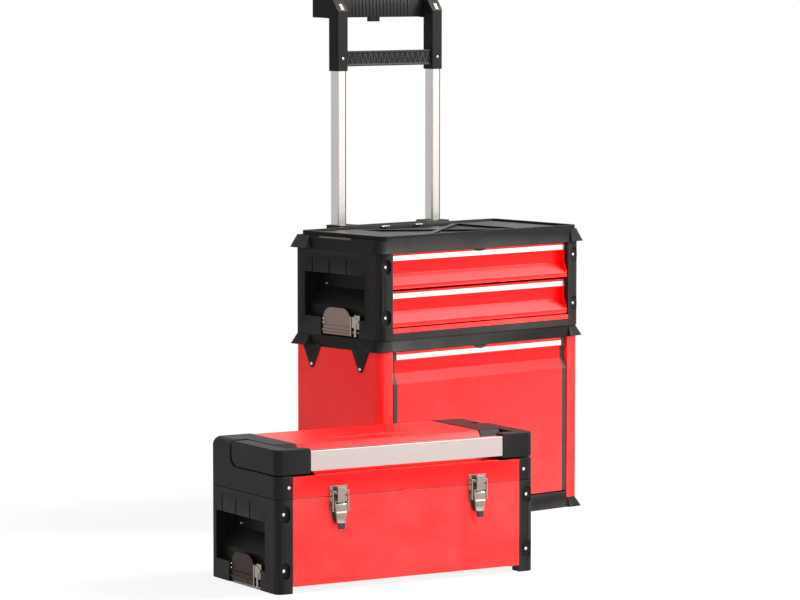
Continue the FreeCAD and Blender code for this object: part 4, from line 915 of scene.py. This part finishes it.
@dataclass
class Latches:
    """The stacking latches at both sides of a module, with the folds and pins of their plates."""

    prefix: str
    place: Place
    plate: Finish
    bracket: Finish
    fold_mm: float = 1.0
    fold_rises: tuple[float, ...] = (6.5, 15.5)
    fold_start: float = 28.2
    fold_end: float = 5.2
    pin_mm: float = 1.3
    pin_rises: tuple[float, ...] = (20.0, 26.5)
    pin_back: float = 4.8
    # The bracket's curved flange and its upright strip, as depth and height from the plate's front foot.
    flange: tuple[tuple[float, float], ...] = (
        (19.7, 34.0), (14.0, 33.8), (8.0, 32.2), (2.7, 28.5), (2.7, 24.5), (7.7, 22.0), (8.7, 18.0), (8.7, -0.5),
        (14.2, -0.5), (14.2, 15.0), (19.7, 15.0))
    strip: tuple[tuple[float, float], ...] = ((21.7, 0.0), (24.6, 0.0), (24.6, 34.0), (21.7, 34.0))

    def build(self) -> None:
        """Dresses both latches and their brackets."""
        skin(self.bracket, 0.3, f"{self.prefix}_latch_angles")
        for side in ("left", "right"):
            node = f"{self.prefix}_latch_{side}"
            skin(self.plate, 0.35, node)
            self.details(node, -1 if side == "left" else 1)

    def details(self, node: str, side: int) -> None:
        """Adds a plate's pressed folds and pin ends, and the flange and strip of the bracket in front of it.

        Args:
            node: the plate's CAD node.
            side: -1 for the left side and 1 for the right.
        """
        span = span_of(node, self.place)
        outer = span.low.x if side < 0 else span.high.x
        start, length = span.low.y + self.fold_start, span.size().y - self.fold_start - self.fold_end
        lines, plates = Sketch(self.place), Sketch(self.place)
        for rise in self.fold_rises:
            lines.turned("Y", (outer - side * 0.35, start, span.low.z + rise),
                         [(0, self.fold_mm / 2), (length, self.fold_mm / 2)], 8)
        make(f"{node}_folds", lines, body_of(node), self.plate, round_mm=0)
        for outline in (self.flange, self.strip):
            plates.prism("X", (outer - side * 0.1, outer - side * 0.9),
                         [(span.low.y + y, span.low.z + z) for y, z in outline])
        make(f"{node}_flange", plates, body_of(f"{self.prefix}_latch_angles"), self.bracket, round_mm=0.2)
        pins = [(Vector((outer - side * 0.6, span.high.y - self.pin_back, span.low.z + rise)), Vector((side, 0, 0)))
                for rise in self.pin_rises]
        fasten(f"{node}_pins", pins, self.place, rivet_head(self.pin_mm, 0.6), body_of(node), SCREW)


@dataclass
class DrawerChest:
    """The lift-off chest with two drawers."""

    moulding_round: float = 0.9
    sheet_round: float = 0.5
    clip_x: float = 39.5
    clip_depth: float = 99.0

    def build(self) -> None:
        """Dresses the case, the deck, the drawers and the side latches."""
        skin(BLACK_PP, self.moulding_round, "chest_ends")
        skin(BLACK_PP, 0.6, "chest_base")
        skin(RED_COAT, self.sheet_round, "chest_rail")
        skin(BLACK_PP, self.sheet_round, "chest_back")
        skin(BLACK_PP, self.moulding_round, "chest_deck", flats=False, clamp=True)
        skin(DULL_NICKEL, 0.3, "deck_catches")
        skin(ZINC, 0.3, "drawer_runners")
        heads_on("chest_screws", way=FRONT)
        self.clips()
        Latches("chest", TROLLEY, BRONZE, NICKEL).build()
        for level in ("upper", "lower"):
            skin(RED_COAT, self.sheet_round, f"drawer_{level}_front")
            skin(BRIGHT_STRIP, 0.2, f"drawer_{level}_strip")
            skin(RED_COAT, self.sheet_round, f"drawer_{level}_tray")
        painted_notch_shadow("drawer_upper_front", "drawer_upper_strip")

    def clips(self) -> None:
        """Adds the two small bright stops at the deck's rear rim."""
        top = span_of("chest_deck").high.z
        stops = Sketch()
        for x in (-self.clip_x, self.clip_x):
            stops.block((x - 9, self.clip_depth, top - 2.6), (x + 9, self.clip_depth + 4, top - 0.8))
        make("deck_stops", stops, "chest", ZINC, round_mm=0.5)


@dataclass
class Handle:
    """The telescopic handle: tubes, necks, crossbar, ribbed grip and release."""

    rib_pitch: float = 8.2
    rib_count: int = 17
    rib_width: float = 3.0
    rib_height: float = 0.9
    rib_sink: float = 0.3
    chevron_count: int = 16
    field_edge: float = 3.0
    field_depth: float = 1.4
    plate_from: float = 8.0
    plate_out: float = 1.2
    tube_round: float = 5.0
    tube_slack: float = 2.0
    plate_inset: float = 4.0
    corner_turn: float = 0.05

    def build(self) -> None:
        """Builds the handle's pieces."""
        self.tubes()
        skin(BLACK_PP, 1.3, "handle_necks", steps=3)
        skin(GRIP_PP, 1.2, "handle_grip")
        skin(BLACK_PP, 0.8, "release_button")
        self.neck_fixings()
        self.crossbar()
        self.grip_ribs()

    def tubes(self) -> None:
        """Draws the two anodised tubes with their rounded square section, as one piece, with painted shade along
        their right front corners.
        """
        made = []
        for index, span in enumerate(solids("handle_tubes")):
            foot, size = span.centre() * MM, span.size() * MM
            foot.z = span.low.z * MM
            made.append(TUBES.grow(f"tube_{index}", TUBE_AL, Foot=foot, Head=foot + Vector((0, 0, size.z)),
                                   Width=size.x - self.tube_slack * MM, Depth=size.y - self.tube_slack * MM,
                                   Rounding=self.tube_round * MM))
        item = joined("handle_tubes_drawn", made)
        # Faces turned to the right front take a dark dull finish: painted shade along that corner of each tube.
        item.data.materials.append(TUBE_EDGE_SHADE.material())
        for face in item.data.polygons:
            if face.normal.x > self.corner_turn and face.normal.y < -self.corner_turn:
                face.material_index = 1
        even(item)
        dress(item, "handle", TUBE_AL, "handle_tubes")

    def neck_fixings(self) -> None:
        """Replaces the necks' plain fixings by cross-recess screws and bright plates."""
        heads = []
        plates = Sketch()
        for span in solids("handle_bolts"):
            near, far = span.low, span.high
            if far.z - near.z < self.plate_from:
                heads.append((Vector((span.centre().x, far.y, span.centre().z)), FRONT))
            else:
                plates.prism("X", (near.x + self.plate_inset, far.x - self.plate_inset),
                             [(near.y, near.z), (far.y - self.plate_out, far.z), (far.y, far.z),
                              (near.y + self.plate_out, near.z)])
        fasten("neck_screws", heads, TROLLEY, screw_head(2.3, 1.2), "handle", SCREW, "handle_bolts")
        make("neck_plates", plates, "handle", DULL_NICKEL, round_mm=0.3)

    def crossbar(self) -> None:
        """Builds the crossbar with a sunk front field and a zigzag of ribs up to its face."""
        bar = span_of("handle_crossbar")
        low, high, edge, sunk = bar.low, bar.high, self.field_edge, self.field_depth
        outline = [(low.y, low.z), (low.y, low.z + edge), (low.y + sunk, low.z + edge + 1),
                   (low.y + sunk, high.z - edge - 1), (low.y, high.z - edge), (low.y, high.z), (high.y, high.z),
                   (high.y, low.z)]
        make("crossbar_body", Sketch().prism("X", (low.x, high.x), outline), "handle", BLACK_PP, "handle_crossbar",
             round_mm=0.8)
        rise = bar.size().z / 2 - edge
        half = bar.size().x / self.chevron_count / 2
        for name, lean in (("rising", half / 2), ("falling", -half / 2)):
            rib = [(-lean - 0.6, -rise), (0.6 - lean, -rise), (lean + 0.6, rise), (lean - 0.6, rise)]
            shape = template("chevron", Sketch().prism("Y", (0.7, sunk), rib))
            start = Vector((low.x + (half / 2 if lean > 0 else half * 1.5), low.y - 0.1, bar.centre().z)) * MM
            dress(ROWS.grow(f"crossbar_{name}", BLACK_PP, Template=shape, Count=self.chevron_count, Start=start,
                            Step=(2 * half * MM, 0, 0)), "handle", BLACK_PP)

    def grip_ribs(self) -> None:
        """Adds the grip's ribs, each a band that stands a little proud of the grip's front."""
        profile = section_of("handle_grip", 60.0)
        middle = sum(y for y, _ in profile) / len(profile)
        top = max(z for _, z in profile) - self.rib_sink
        proud = [(y - (self.rib_height if y < middle else self.rib_sink), min(z, top)) for y, z in profile]
        shape = template("rib", Sketch().prism("X", (-self.rib_width / 2, self.rib_width / 2), proud))
        item = ROWS.grow("grip_ribs", GRIP_PP, Template=shape, Count=self.rib_count,
                         Start=(-self.rib_pitch * (self.rib_count - 1) / 2 * MM, 0, 0),
                         Step=(self.rib_pitch * MM, 0, 0))
        smooth(item.data)
        dress(item, "handle", GRIP_PP)


def section_of(node: str, x: float) -> list[tuple[float, float]]:
    """The (Y, Z) outline where a CAD node is cut by an upright plane across X, in millimetres.

    Args:
        node: the CAD node's name.
        x: where the cut is; it is made a little further out, clear of any corner.

    Returns:
        The corners in order round the outline.
    """
    work = merged(node)
    bmesh.ops.triangulate(work, faces=work.faces)
    cut = bmesh.ops.bisect_plane(work, geom=work.verts[:] + work.edges[:] + work.faces[:],
                                 plane_co=((x + 0.37) * MM, 0, 0), plane_no=(1, 0, 0), dist=1e-8)
    links: dict[BMVert, list[BMVert]] = {}
    for edge in cut["geom_cut"]:
        if isinstance(edge, BMEdge):
            for one, other in (edge.verts, reversed(edge.verts)):
                links.setdefault(one, []).append(other)
    loop = [max(links, key=lambda v: v.co.z)]
    while onward := [v for v in links[loop[-1]] if v not in loop]:
        loop.append(onward[0])
    points = [(v.co.y / MM, v.co.z / MM) for v in loop]
    work.free()
    return points


def joined(name: str, pieces: Sequence[Object]) -> Object:
    """Joins pieces that lie at the origin into one, with the materials of the first.

    Args:
        name: the joined piece's name.
        pieces: the pieces, which are used up.

    Returns:
        The joined piece.
    """
    work = bmesh.new()
    for piece in pieces:
        work.from_mesh(piece.data)
    bmesh.ops.recalc_face_normals(work, faces=work.faces)
    item = cast(name, work)
    for material in pieces[0].data.materials:
        item.data.materials.append(material)
    for piece in pieces:
        old = piece.data
        bpy.data.objects.remove(piece)
        bpy.data.meshes.remove(old)
    return item


@dataclass
class RunningGear:
    """Wheels, axle and the outer rails at the back."""

    tread_blocks: int = 44
    tread_depth: float = 1.4
    tyre_height: float = 12.7
    bolt_count: int = 6
    bolt_circle: float = 26.0

    def build(self) -> None:
        """Builds the rails, the axle and both wheels."""
        skin(BLACK_PP, 0.4, "outer_rails")
        skin(BLACK_PP, 1.0, "rail_bars")
        skin(ZINC, 0.5, "axle")
        skin(ZINC, 0.4, "axle_brackets")
        skin(BLACK_PP, 1.0, "axle_caps")
        for side in ("left", "right"):
            self.tyre(side)
            skin(BLACK_PP, 0.8, f"wheel_hub_{side}")
            self.bolts(side)

    def tyre(self, side: str) -> None:
        """Turns a tyre with crowned sides and sets slanting tread blocks round it.

        Args:
            side: left or right.
        """
        span = span_of(f"wheel_tyre_{side}")
        half, outer = span.size().x / 2, span.size().z / 2
        inner, low, third = outer - self.tyre_height, outer - self.tread_depth, half / 3
        left = [(4 - half, inner), (0.6 - half, inner + 1.5), (-half, inner + 4), (-half, low - 6),
                (1 - half, low - 2.4), (4 - half, low - 0.3), (-third - 1, low), (-third, low - 1.5),
                (2 - third, low - 1.5), (3 - third, low)]
        profile = left + [(-along, radius) for along, radius in reversed(left)]
        carcass = Sketch().turned("X", tuple(span.centre()), profile, 88, closed=True).cast(f"tyre_carcass_{side}")
        carcass.data.materials.append(RUBBER.material())
        smooth(carcass.data, 40)
        block = Sketch()
        for near, far, lean in ((4.6 - half, -third - 1.6, 1.2), (3.4 - third, third - 3.4, 0),
                                (third + 1.6, half - 4.6, -1.2)):
            block.bridge([[block.work.verts.new((x, y, -z)) for y, z in (
                (-lean - grow, near), (grow - lean, near), (lean + grow, far), (lean - grow, far))]
                for x, grow in ((0.0, 1.7), (self.tread_depth + 0.4, 1.35))])
        ring = RINGS.grow(f"tread_{side}", RUBBER, Template=template("tread_block", block), Count=self.tread_blocks,
                          Radius=(low - 0.4) * MM, Centre=span.centre() * MM)
        dress(joined(f"tyre_{side}", [carcass, ring]), f"wheel_{side}", RUBBER, f"wheel_tyre_{side}")

    def bolts(self, side: str) -> None:
        """Sets a ring of bolt heads on the hub's outer web.

        Args:
            side: left or right.
        """
        node, way = f"wheel_hub_{side}", -1 if side == "left" else 1
        centre = span_of(node).centre()
        centre.x = hub_face(node, way, self.bolt_circle)
        ring = circle(self.bolt_circle, 2 * self.bolt_count)[1::2]
        spots = [(centre + Vector((0, *pair)), Vector((way, 0, 0))) for pair in ring]
        fasten(f"hub_bolts_{side}", spots, TROLLEY, screw_head(3.6, 2.2), f"wheel_{side}", SCREW)


def hub_face(node: str, way: int, radius: float) -> float:
    """Finds how far out along X a hub's web stands at a radius from its axle.

    Args:
        node: the hub's CAD node.
        way: -1 for the left side and 1 for the right.
        radius: where the bolts are, in millimetres.

    Returns:
        The web face's X in millimetres.
    """
    span = span_of(node)
    end = span.high.x if way > 0 else span.low.x
    work = merged(node)
    bmesh.ops.triangulate(work, faces=work.faces)
    start = Vector((end + way * 50, span.centre().y + radius * 0.87, span.centre().z + radius * 0.5)) * MM
    hit = BVHTree.FromBMesh(work).ray_cast(start, Vector((-way, 0, 0)))[0]
    work.free()
    return end if hit is None else hit.x / MM


@dataclass
class CarryBox:
    """The separate carrying box with its lid, carrying handle and draw latches."""

    moulding_round: float = 1.0
    sheet_round: float = 0.5
    emboss_half: float = 74.0
    emboss_depth: float = 9.0
    nub_half: float = 11.0
    nub_out: float = 3.6
    cap_half: float = 6.2
    cap_depth: float = 4.1
    cap_height: float = 10.0
    bend_out: float = 2.5
    # Half width, depth and height of the corners of a lever's bend, from its face and its upper end.
    bend: tuple[Point, ...] = ((9.2, 0.3, 0), (9.2, -1.3, -3), (6.4, 0.3, -13), (6.8, -0.7, -11))
    strap_half: float = 6.5
    wall_back: float = -110.5
    keeper_walls: tuple[tuple[float, float], ...] = ((149.0, 152.0), (158.0, 163.0))
    base_walls: tuple[tuple[float, float], ...] = ((137.2, 145.8),)
    base_wall_front: float = -113.0
    rivet_face: float = -111.15
    rivet_inset: float = 4.2

    def build(self) -> None:
        """Builds the case, the lid, the handle and the latches."""
        skin(BLACK_PP, self.moulding_round, "box_ends")
        skin(RED_COAT, self.sheet_round, "box_body")
        heads_on("box_screws", BESIDE, FRONT)
        skin(ZINC, 0.3, "hinge_leaves_body", "hinge_leaves_lid")
        skin(RED_COAT, 1.0, "box_lid", steps=3)
        skin(BLACK_PP, 1.4, "lid_caps", steps=3)
        heads_on("lid_screws", BESIDE, FRONT)
        skin(BLACK_PP, 1.8, "carry_arms", steps=3)
        skin(BRIGHT_BAR, 1.0, "carry_bar")
        Latches("box", BESIDE, DARK_BRONZE, NICKEL).build()
        self.lid_front(span_of("box_lid", BESIDE))
        for side in ("left", "right"):
            self.lever(side)
            skin(NICKEL, 0.3, f"draw_loop_{side}", steps=3)
            self.strap(side)
        skin(NICKEL, 0.25, "draw_bases", "draw_keepers")
        self.rivets("draw_bases", "box", "base_rivets", 15.5)
        self.rivets("draw_keepers", "lid", "keeper_rivets", 6.5)

    def lid_front(self, lid: Span) -> None:
        """Adds the lid's shallow pressed panel, a thin dark rubber strip in the seam under it as painted shadow of
        the seam's gap, and the red finger nub at its front.

        Args:
            lid: the span of the lid.
        """
        half, deep, low, top = self.emboss_half, self.emboss_depth, lid.low, lid.high.z
        panel = Sketch(BESIDE).hull([(x * (half - inset), y * (deep - inset), top + rise) for x in (-1, 1)
                                     for y in (-1, 1) for inset, rise in ((0, -0.5), (0, 0.1), (1.6, 1.5))])
        make("lid_emboss", panel, "lid", RED_COAT, round_mm=0.3)
        # A thin dark rubber strip along the lid's lower edge: painted shadow standing in for the gap of the seam.
        seam = Sketch(BESIDE).block((low.x, low.y - 0.25, low.z - 0.9), (lid.high.x, low.y + 1, low.z - 0.1))
        make("lid_seal", seam, "box", RUBBER, round_mm=0)
        outline = [(x, low.z + 0.2 + 4.0 * rise) for x, rise in dome(self.nub_half, 12)]
        nub = Sketch(BESIDE).prism("Y", (low.y - self.nub_out, low.y + 0.3), outline)
        make("lid_nub", nub, "lid", RED_COAT, round_mm=0.5)

    def lever(self, side: str) -> None:
        """Builds a draw lever with the bend in its sheet, and the black rubber cap on its foot.

        Args:
            side: left or right.
        """
        node, body = f"draw_lever_{side}", f"lever_{side}"
        span = span_of(node, BESIDE)
        middle, foot = span.centre().x, span.low
        work = merged(node)
        bmesh.ops.bisect_plane(work, geom=work.verts[:] + work.edges[:] + work.faces[:],
                               plane_co=(0, 0, (foot.z + self.cap_height) * MM), plane_no=(0, 0, 1), clear_inner=True)
        bmesh.ops.holes_fill(work, edges=[e for e in work.edges if e.is_boundary])
        item = cast(f"{node}_sheet", work)
        ease(item, 0.3)
        smooth(item.data)
        dress(item, body, NICKEL, node)
        tip = Sketch(BESIDE).block((middle - self.cap_half, foot.y, foot.z),
                                   (middle + self.cap_half, foot.y + self.cap_depth, foot.z + self.cap_height))
        make(f"{node}_tip", tip, body, RUBBER, round_mm=1.6, steps=3)
        bend = Sketch(BESIDE).hull([(middle + way * x, foot.y + self.bend_out + y, span.high.z - 12 + z)
                                    for x, y, z in self.bend for way in (-1, 1)])
        make(f"{node}_bend", bend, body, NICKEL, round_mm=0.4, steps=3)

    def strap(self, side: str) -> None:
        """Adds the flat strap over a draw loop and the raised walls behind it on base and keeper.

        Args:
            side: left or right.
        """
        loop = span_of(f"draw_loop_{side}", BESIDE)
        left, right = loop.centre().x - self.strap_half, loop.centre().x + self.strap_half
        face = loop.low.y - 0.9
        cover = Sketch(BESIDE).block((left, face - 1.3, loop.low.z + 14), (right, face, loop.high.z + 5.5))
        make(f"draw_strap_{side}", cover, f"loop_{side}", NICKEL, round_mm=0.5, steps=3)
        for name, body, out, runs in (("keeper", "lid", face + 0.6, self.keeper_walls),
                                      ("base", "box", self.base_wall_front, self.base_walls)):
            walls = Sketch(BESIDE)
            for low, high in runs:
                walls.block((left, out, low), (right, self.wall_back, high))
            make(f"draw_{name}_channel_{side}", walls, body, NICKEL, round_mm=0.3)

    def rivets(self, node: str, body: str, name: str, drop: float) -> None:
        """Sets two rivets on each draw latch base or keeper.

        Args:
            node: their CAD node.
            body: the body that they ride on.
            name: the new piece's name.
            drop: how far under the upper edge the rivets are.
        """
        spots = [(Vector((x, self.rivet_face, span.high.z - drop)), FRONT) for span in solids(node, BESIDE)
                 for x in (span.low.x + self.rivet_inset, span.high.x - self.rivet_inset)]
        fasten(name, spots, BESIDE, rivet_head(2.1, 1.1), body, NICKEL)


@dataclass
class Studio:
    """Camera, lamps, world and floor. None of it is part of the object."""

    camera_at: Point = (-4.37996, -4.87833, 0.96641)
    turn: float = -41.304
    pitch: float = 5.138
    lens: float = 167.56
    aim: Point = (-0.2, -0.1, 0.35)
    # Each softbox: its name, where it hangs, its width and height in metres and its power in watts.
    lamps: tuple[tuple[str, Point, tuple[float, float], float], ...] = (
        ("front_softbox", (0.9, -5.2, 2.6), (3.2, 3.2), 100), ("side_softbox", (2.4, -4.2, 1.0), (4.2, 1.8), 30),
        ("high_softbox", (2.2, -1.65, 2.75), (1.4, 1.4), 320), ("left_fill", (-4.5, -1.5, 2.2), (2.0, 2.0), 4))
    floor_near: float = 0.9
    floor_far: float = 2.6
    floor_reach: float = 60

    def build(self) -> None:
        """Sets everything round the object."""
        scene = bpy.context.scene
        scene.view_settings.view_transform = "Standard"
        camera = show("camera", bpy.data.cameras.new("camera"))
        camera.data.lens = self.lens
        camera.data.sensor_width = 36
        camera.data.clip_end = 200
        camera.location = self.camera_at
        camera.rotation_euler = (math.radians(90 - self.pitch), 0, math.radians(self.turn))
        scene.camera = camera
        for name, at, size, power in self.lamps:
            self.lamp(name, at, size, power)
        self.world()
        self.floor()

    def lamp(self, name: str, at: Point, size: tuple[float, float], power: float) -> None:
        """Sets a soft lamp that faces the object.

        Args:
            name: its name.
            at: where it hangs, in metres.
            size: its width and height in metres.
            power: its power in watts.
        """
        data = bpy.data.lights.new(name, "AREA")
        data.shape = "RECTANGLE"
        data.energy = power
        data.size, data.size_y = size
        lamp = show(name, data)
        lamp.location = at
        lamp.rotation_euler = (Vector(self.aim) - Vector(at)).to_track_quat("-Z", "Y").to_euler()

    def seen_directly(self, tree: NodeTree) -> NodeSocket:
        """Gives 1 for rays of the camera, of gloss and of glass, and 0 for all others.

        Args:
            tree: the node tree that the nodes go in.

        Returns:
            The socket with that number.
        """
        path = add_node(tree, "ShaderNodeLightPath")
        seen = path["Is Camera Ray"]
        for other in ("Is Glossy Ray", "Is Transmission Ray"):
            seen = add_node(tree, "ShaderNodeMath", {0: seen, 1: path[other]}, operation="MAXIMUM")[0]
        return seen

    def world(self) -> None:
        """Makes a white background over a dimmer even sky."""
        world = bpy.data.worlds.new("studio")
        tree = emptied(world)
        sky = add_node(tree, "ShaderNodeBackground", {"Color": (1, 1, 1, 1), "Strength": 0.5})
        backdrop = add_node(tree, "ShaderNodeBackground", {"Color": (1, 1, 1, 1), "Strength": 1.0})
        mixed = add_node(tree, "ShaderNodeMixShader",
                         {0: self.seen_directly(tree), 1: sky[0], 2: backdrop[0]})
        add_node(tree, "ShaderNodeOutputWorld", {"Surface": mixed[0]})
        bpy.context.scene.world = world

    def floor(self) -> None:
        """Lays a pale floor that keeps a faint shadow and runs into the white background."""
        reach = self.floor_reach / MM
        item = Sketch().block((-reach, -reach, -20), (reach, reach, 0)).cast("floor")
        made = bpy.data.materials.new("pale_studio_floor")
        tree = emptied(made)
        paint = add_node(tree, "ShaderNodeBsdfDiffuse", {"Color": linear("#F4F4F4")})
        glow = add_node(tree, "ShaderNodeEmission", {"Color": (1, 1, 1, 1), "Strength": 1.0})
        where = add_node(tree, "ShaderNodeTexCoord")["Object"]
        away = add_node(tree, "ShaderNodeVectorMath", {0: where}, operation="LENGTH")["Value"]
        fade = add_node(tree, "ShaderNodeMapRange", {"Value": away, "From Min": self.floor_near,
                                                     "From Max": self.floor_far, "To Min": 0.88, "To Max": 1.0})
        share = add_node(tree, "ShaderNodeMath", {0: self.seen_directly(tree), 1: fade[0]},
                         operation="MULTIPLY")
        mixed = add_node(tree, "ShaderNodeMixShader", {0: share[0], 1: paint[0], 2: glow[0]})
        add_node(tree, "ShaderNodeOutputMaterial", {"Surface": mixed[0]})
        item.data.materials.append(made)


def main() -> None:
    """Builds every sub-assembly in order, then the studio."""
    logging.basicConfig(level=logging.INFO, format="%(name)s: %(message)s")
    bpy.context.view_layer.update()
    for part in (LowerChest(), DrawerChest(), Handle(), RunningGear(), CarryBox(), Studio()):
        LOG.info("building %s", type(part).__name__)
        part.build()


if __name__ == "__main__":
    main()
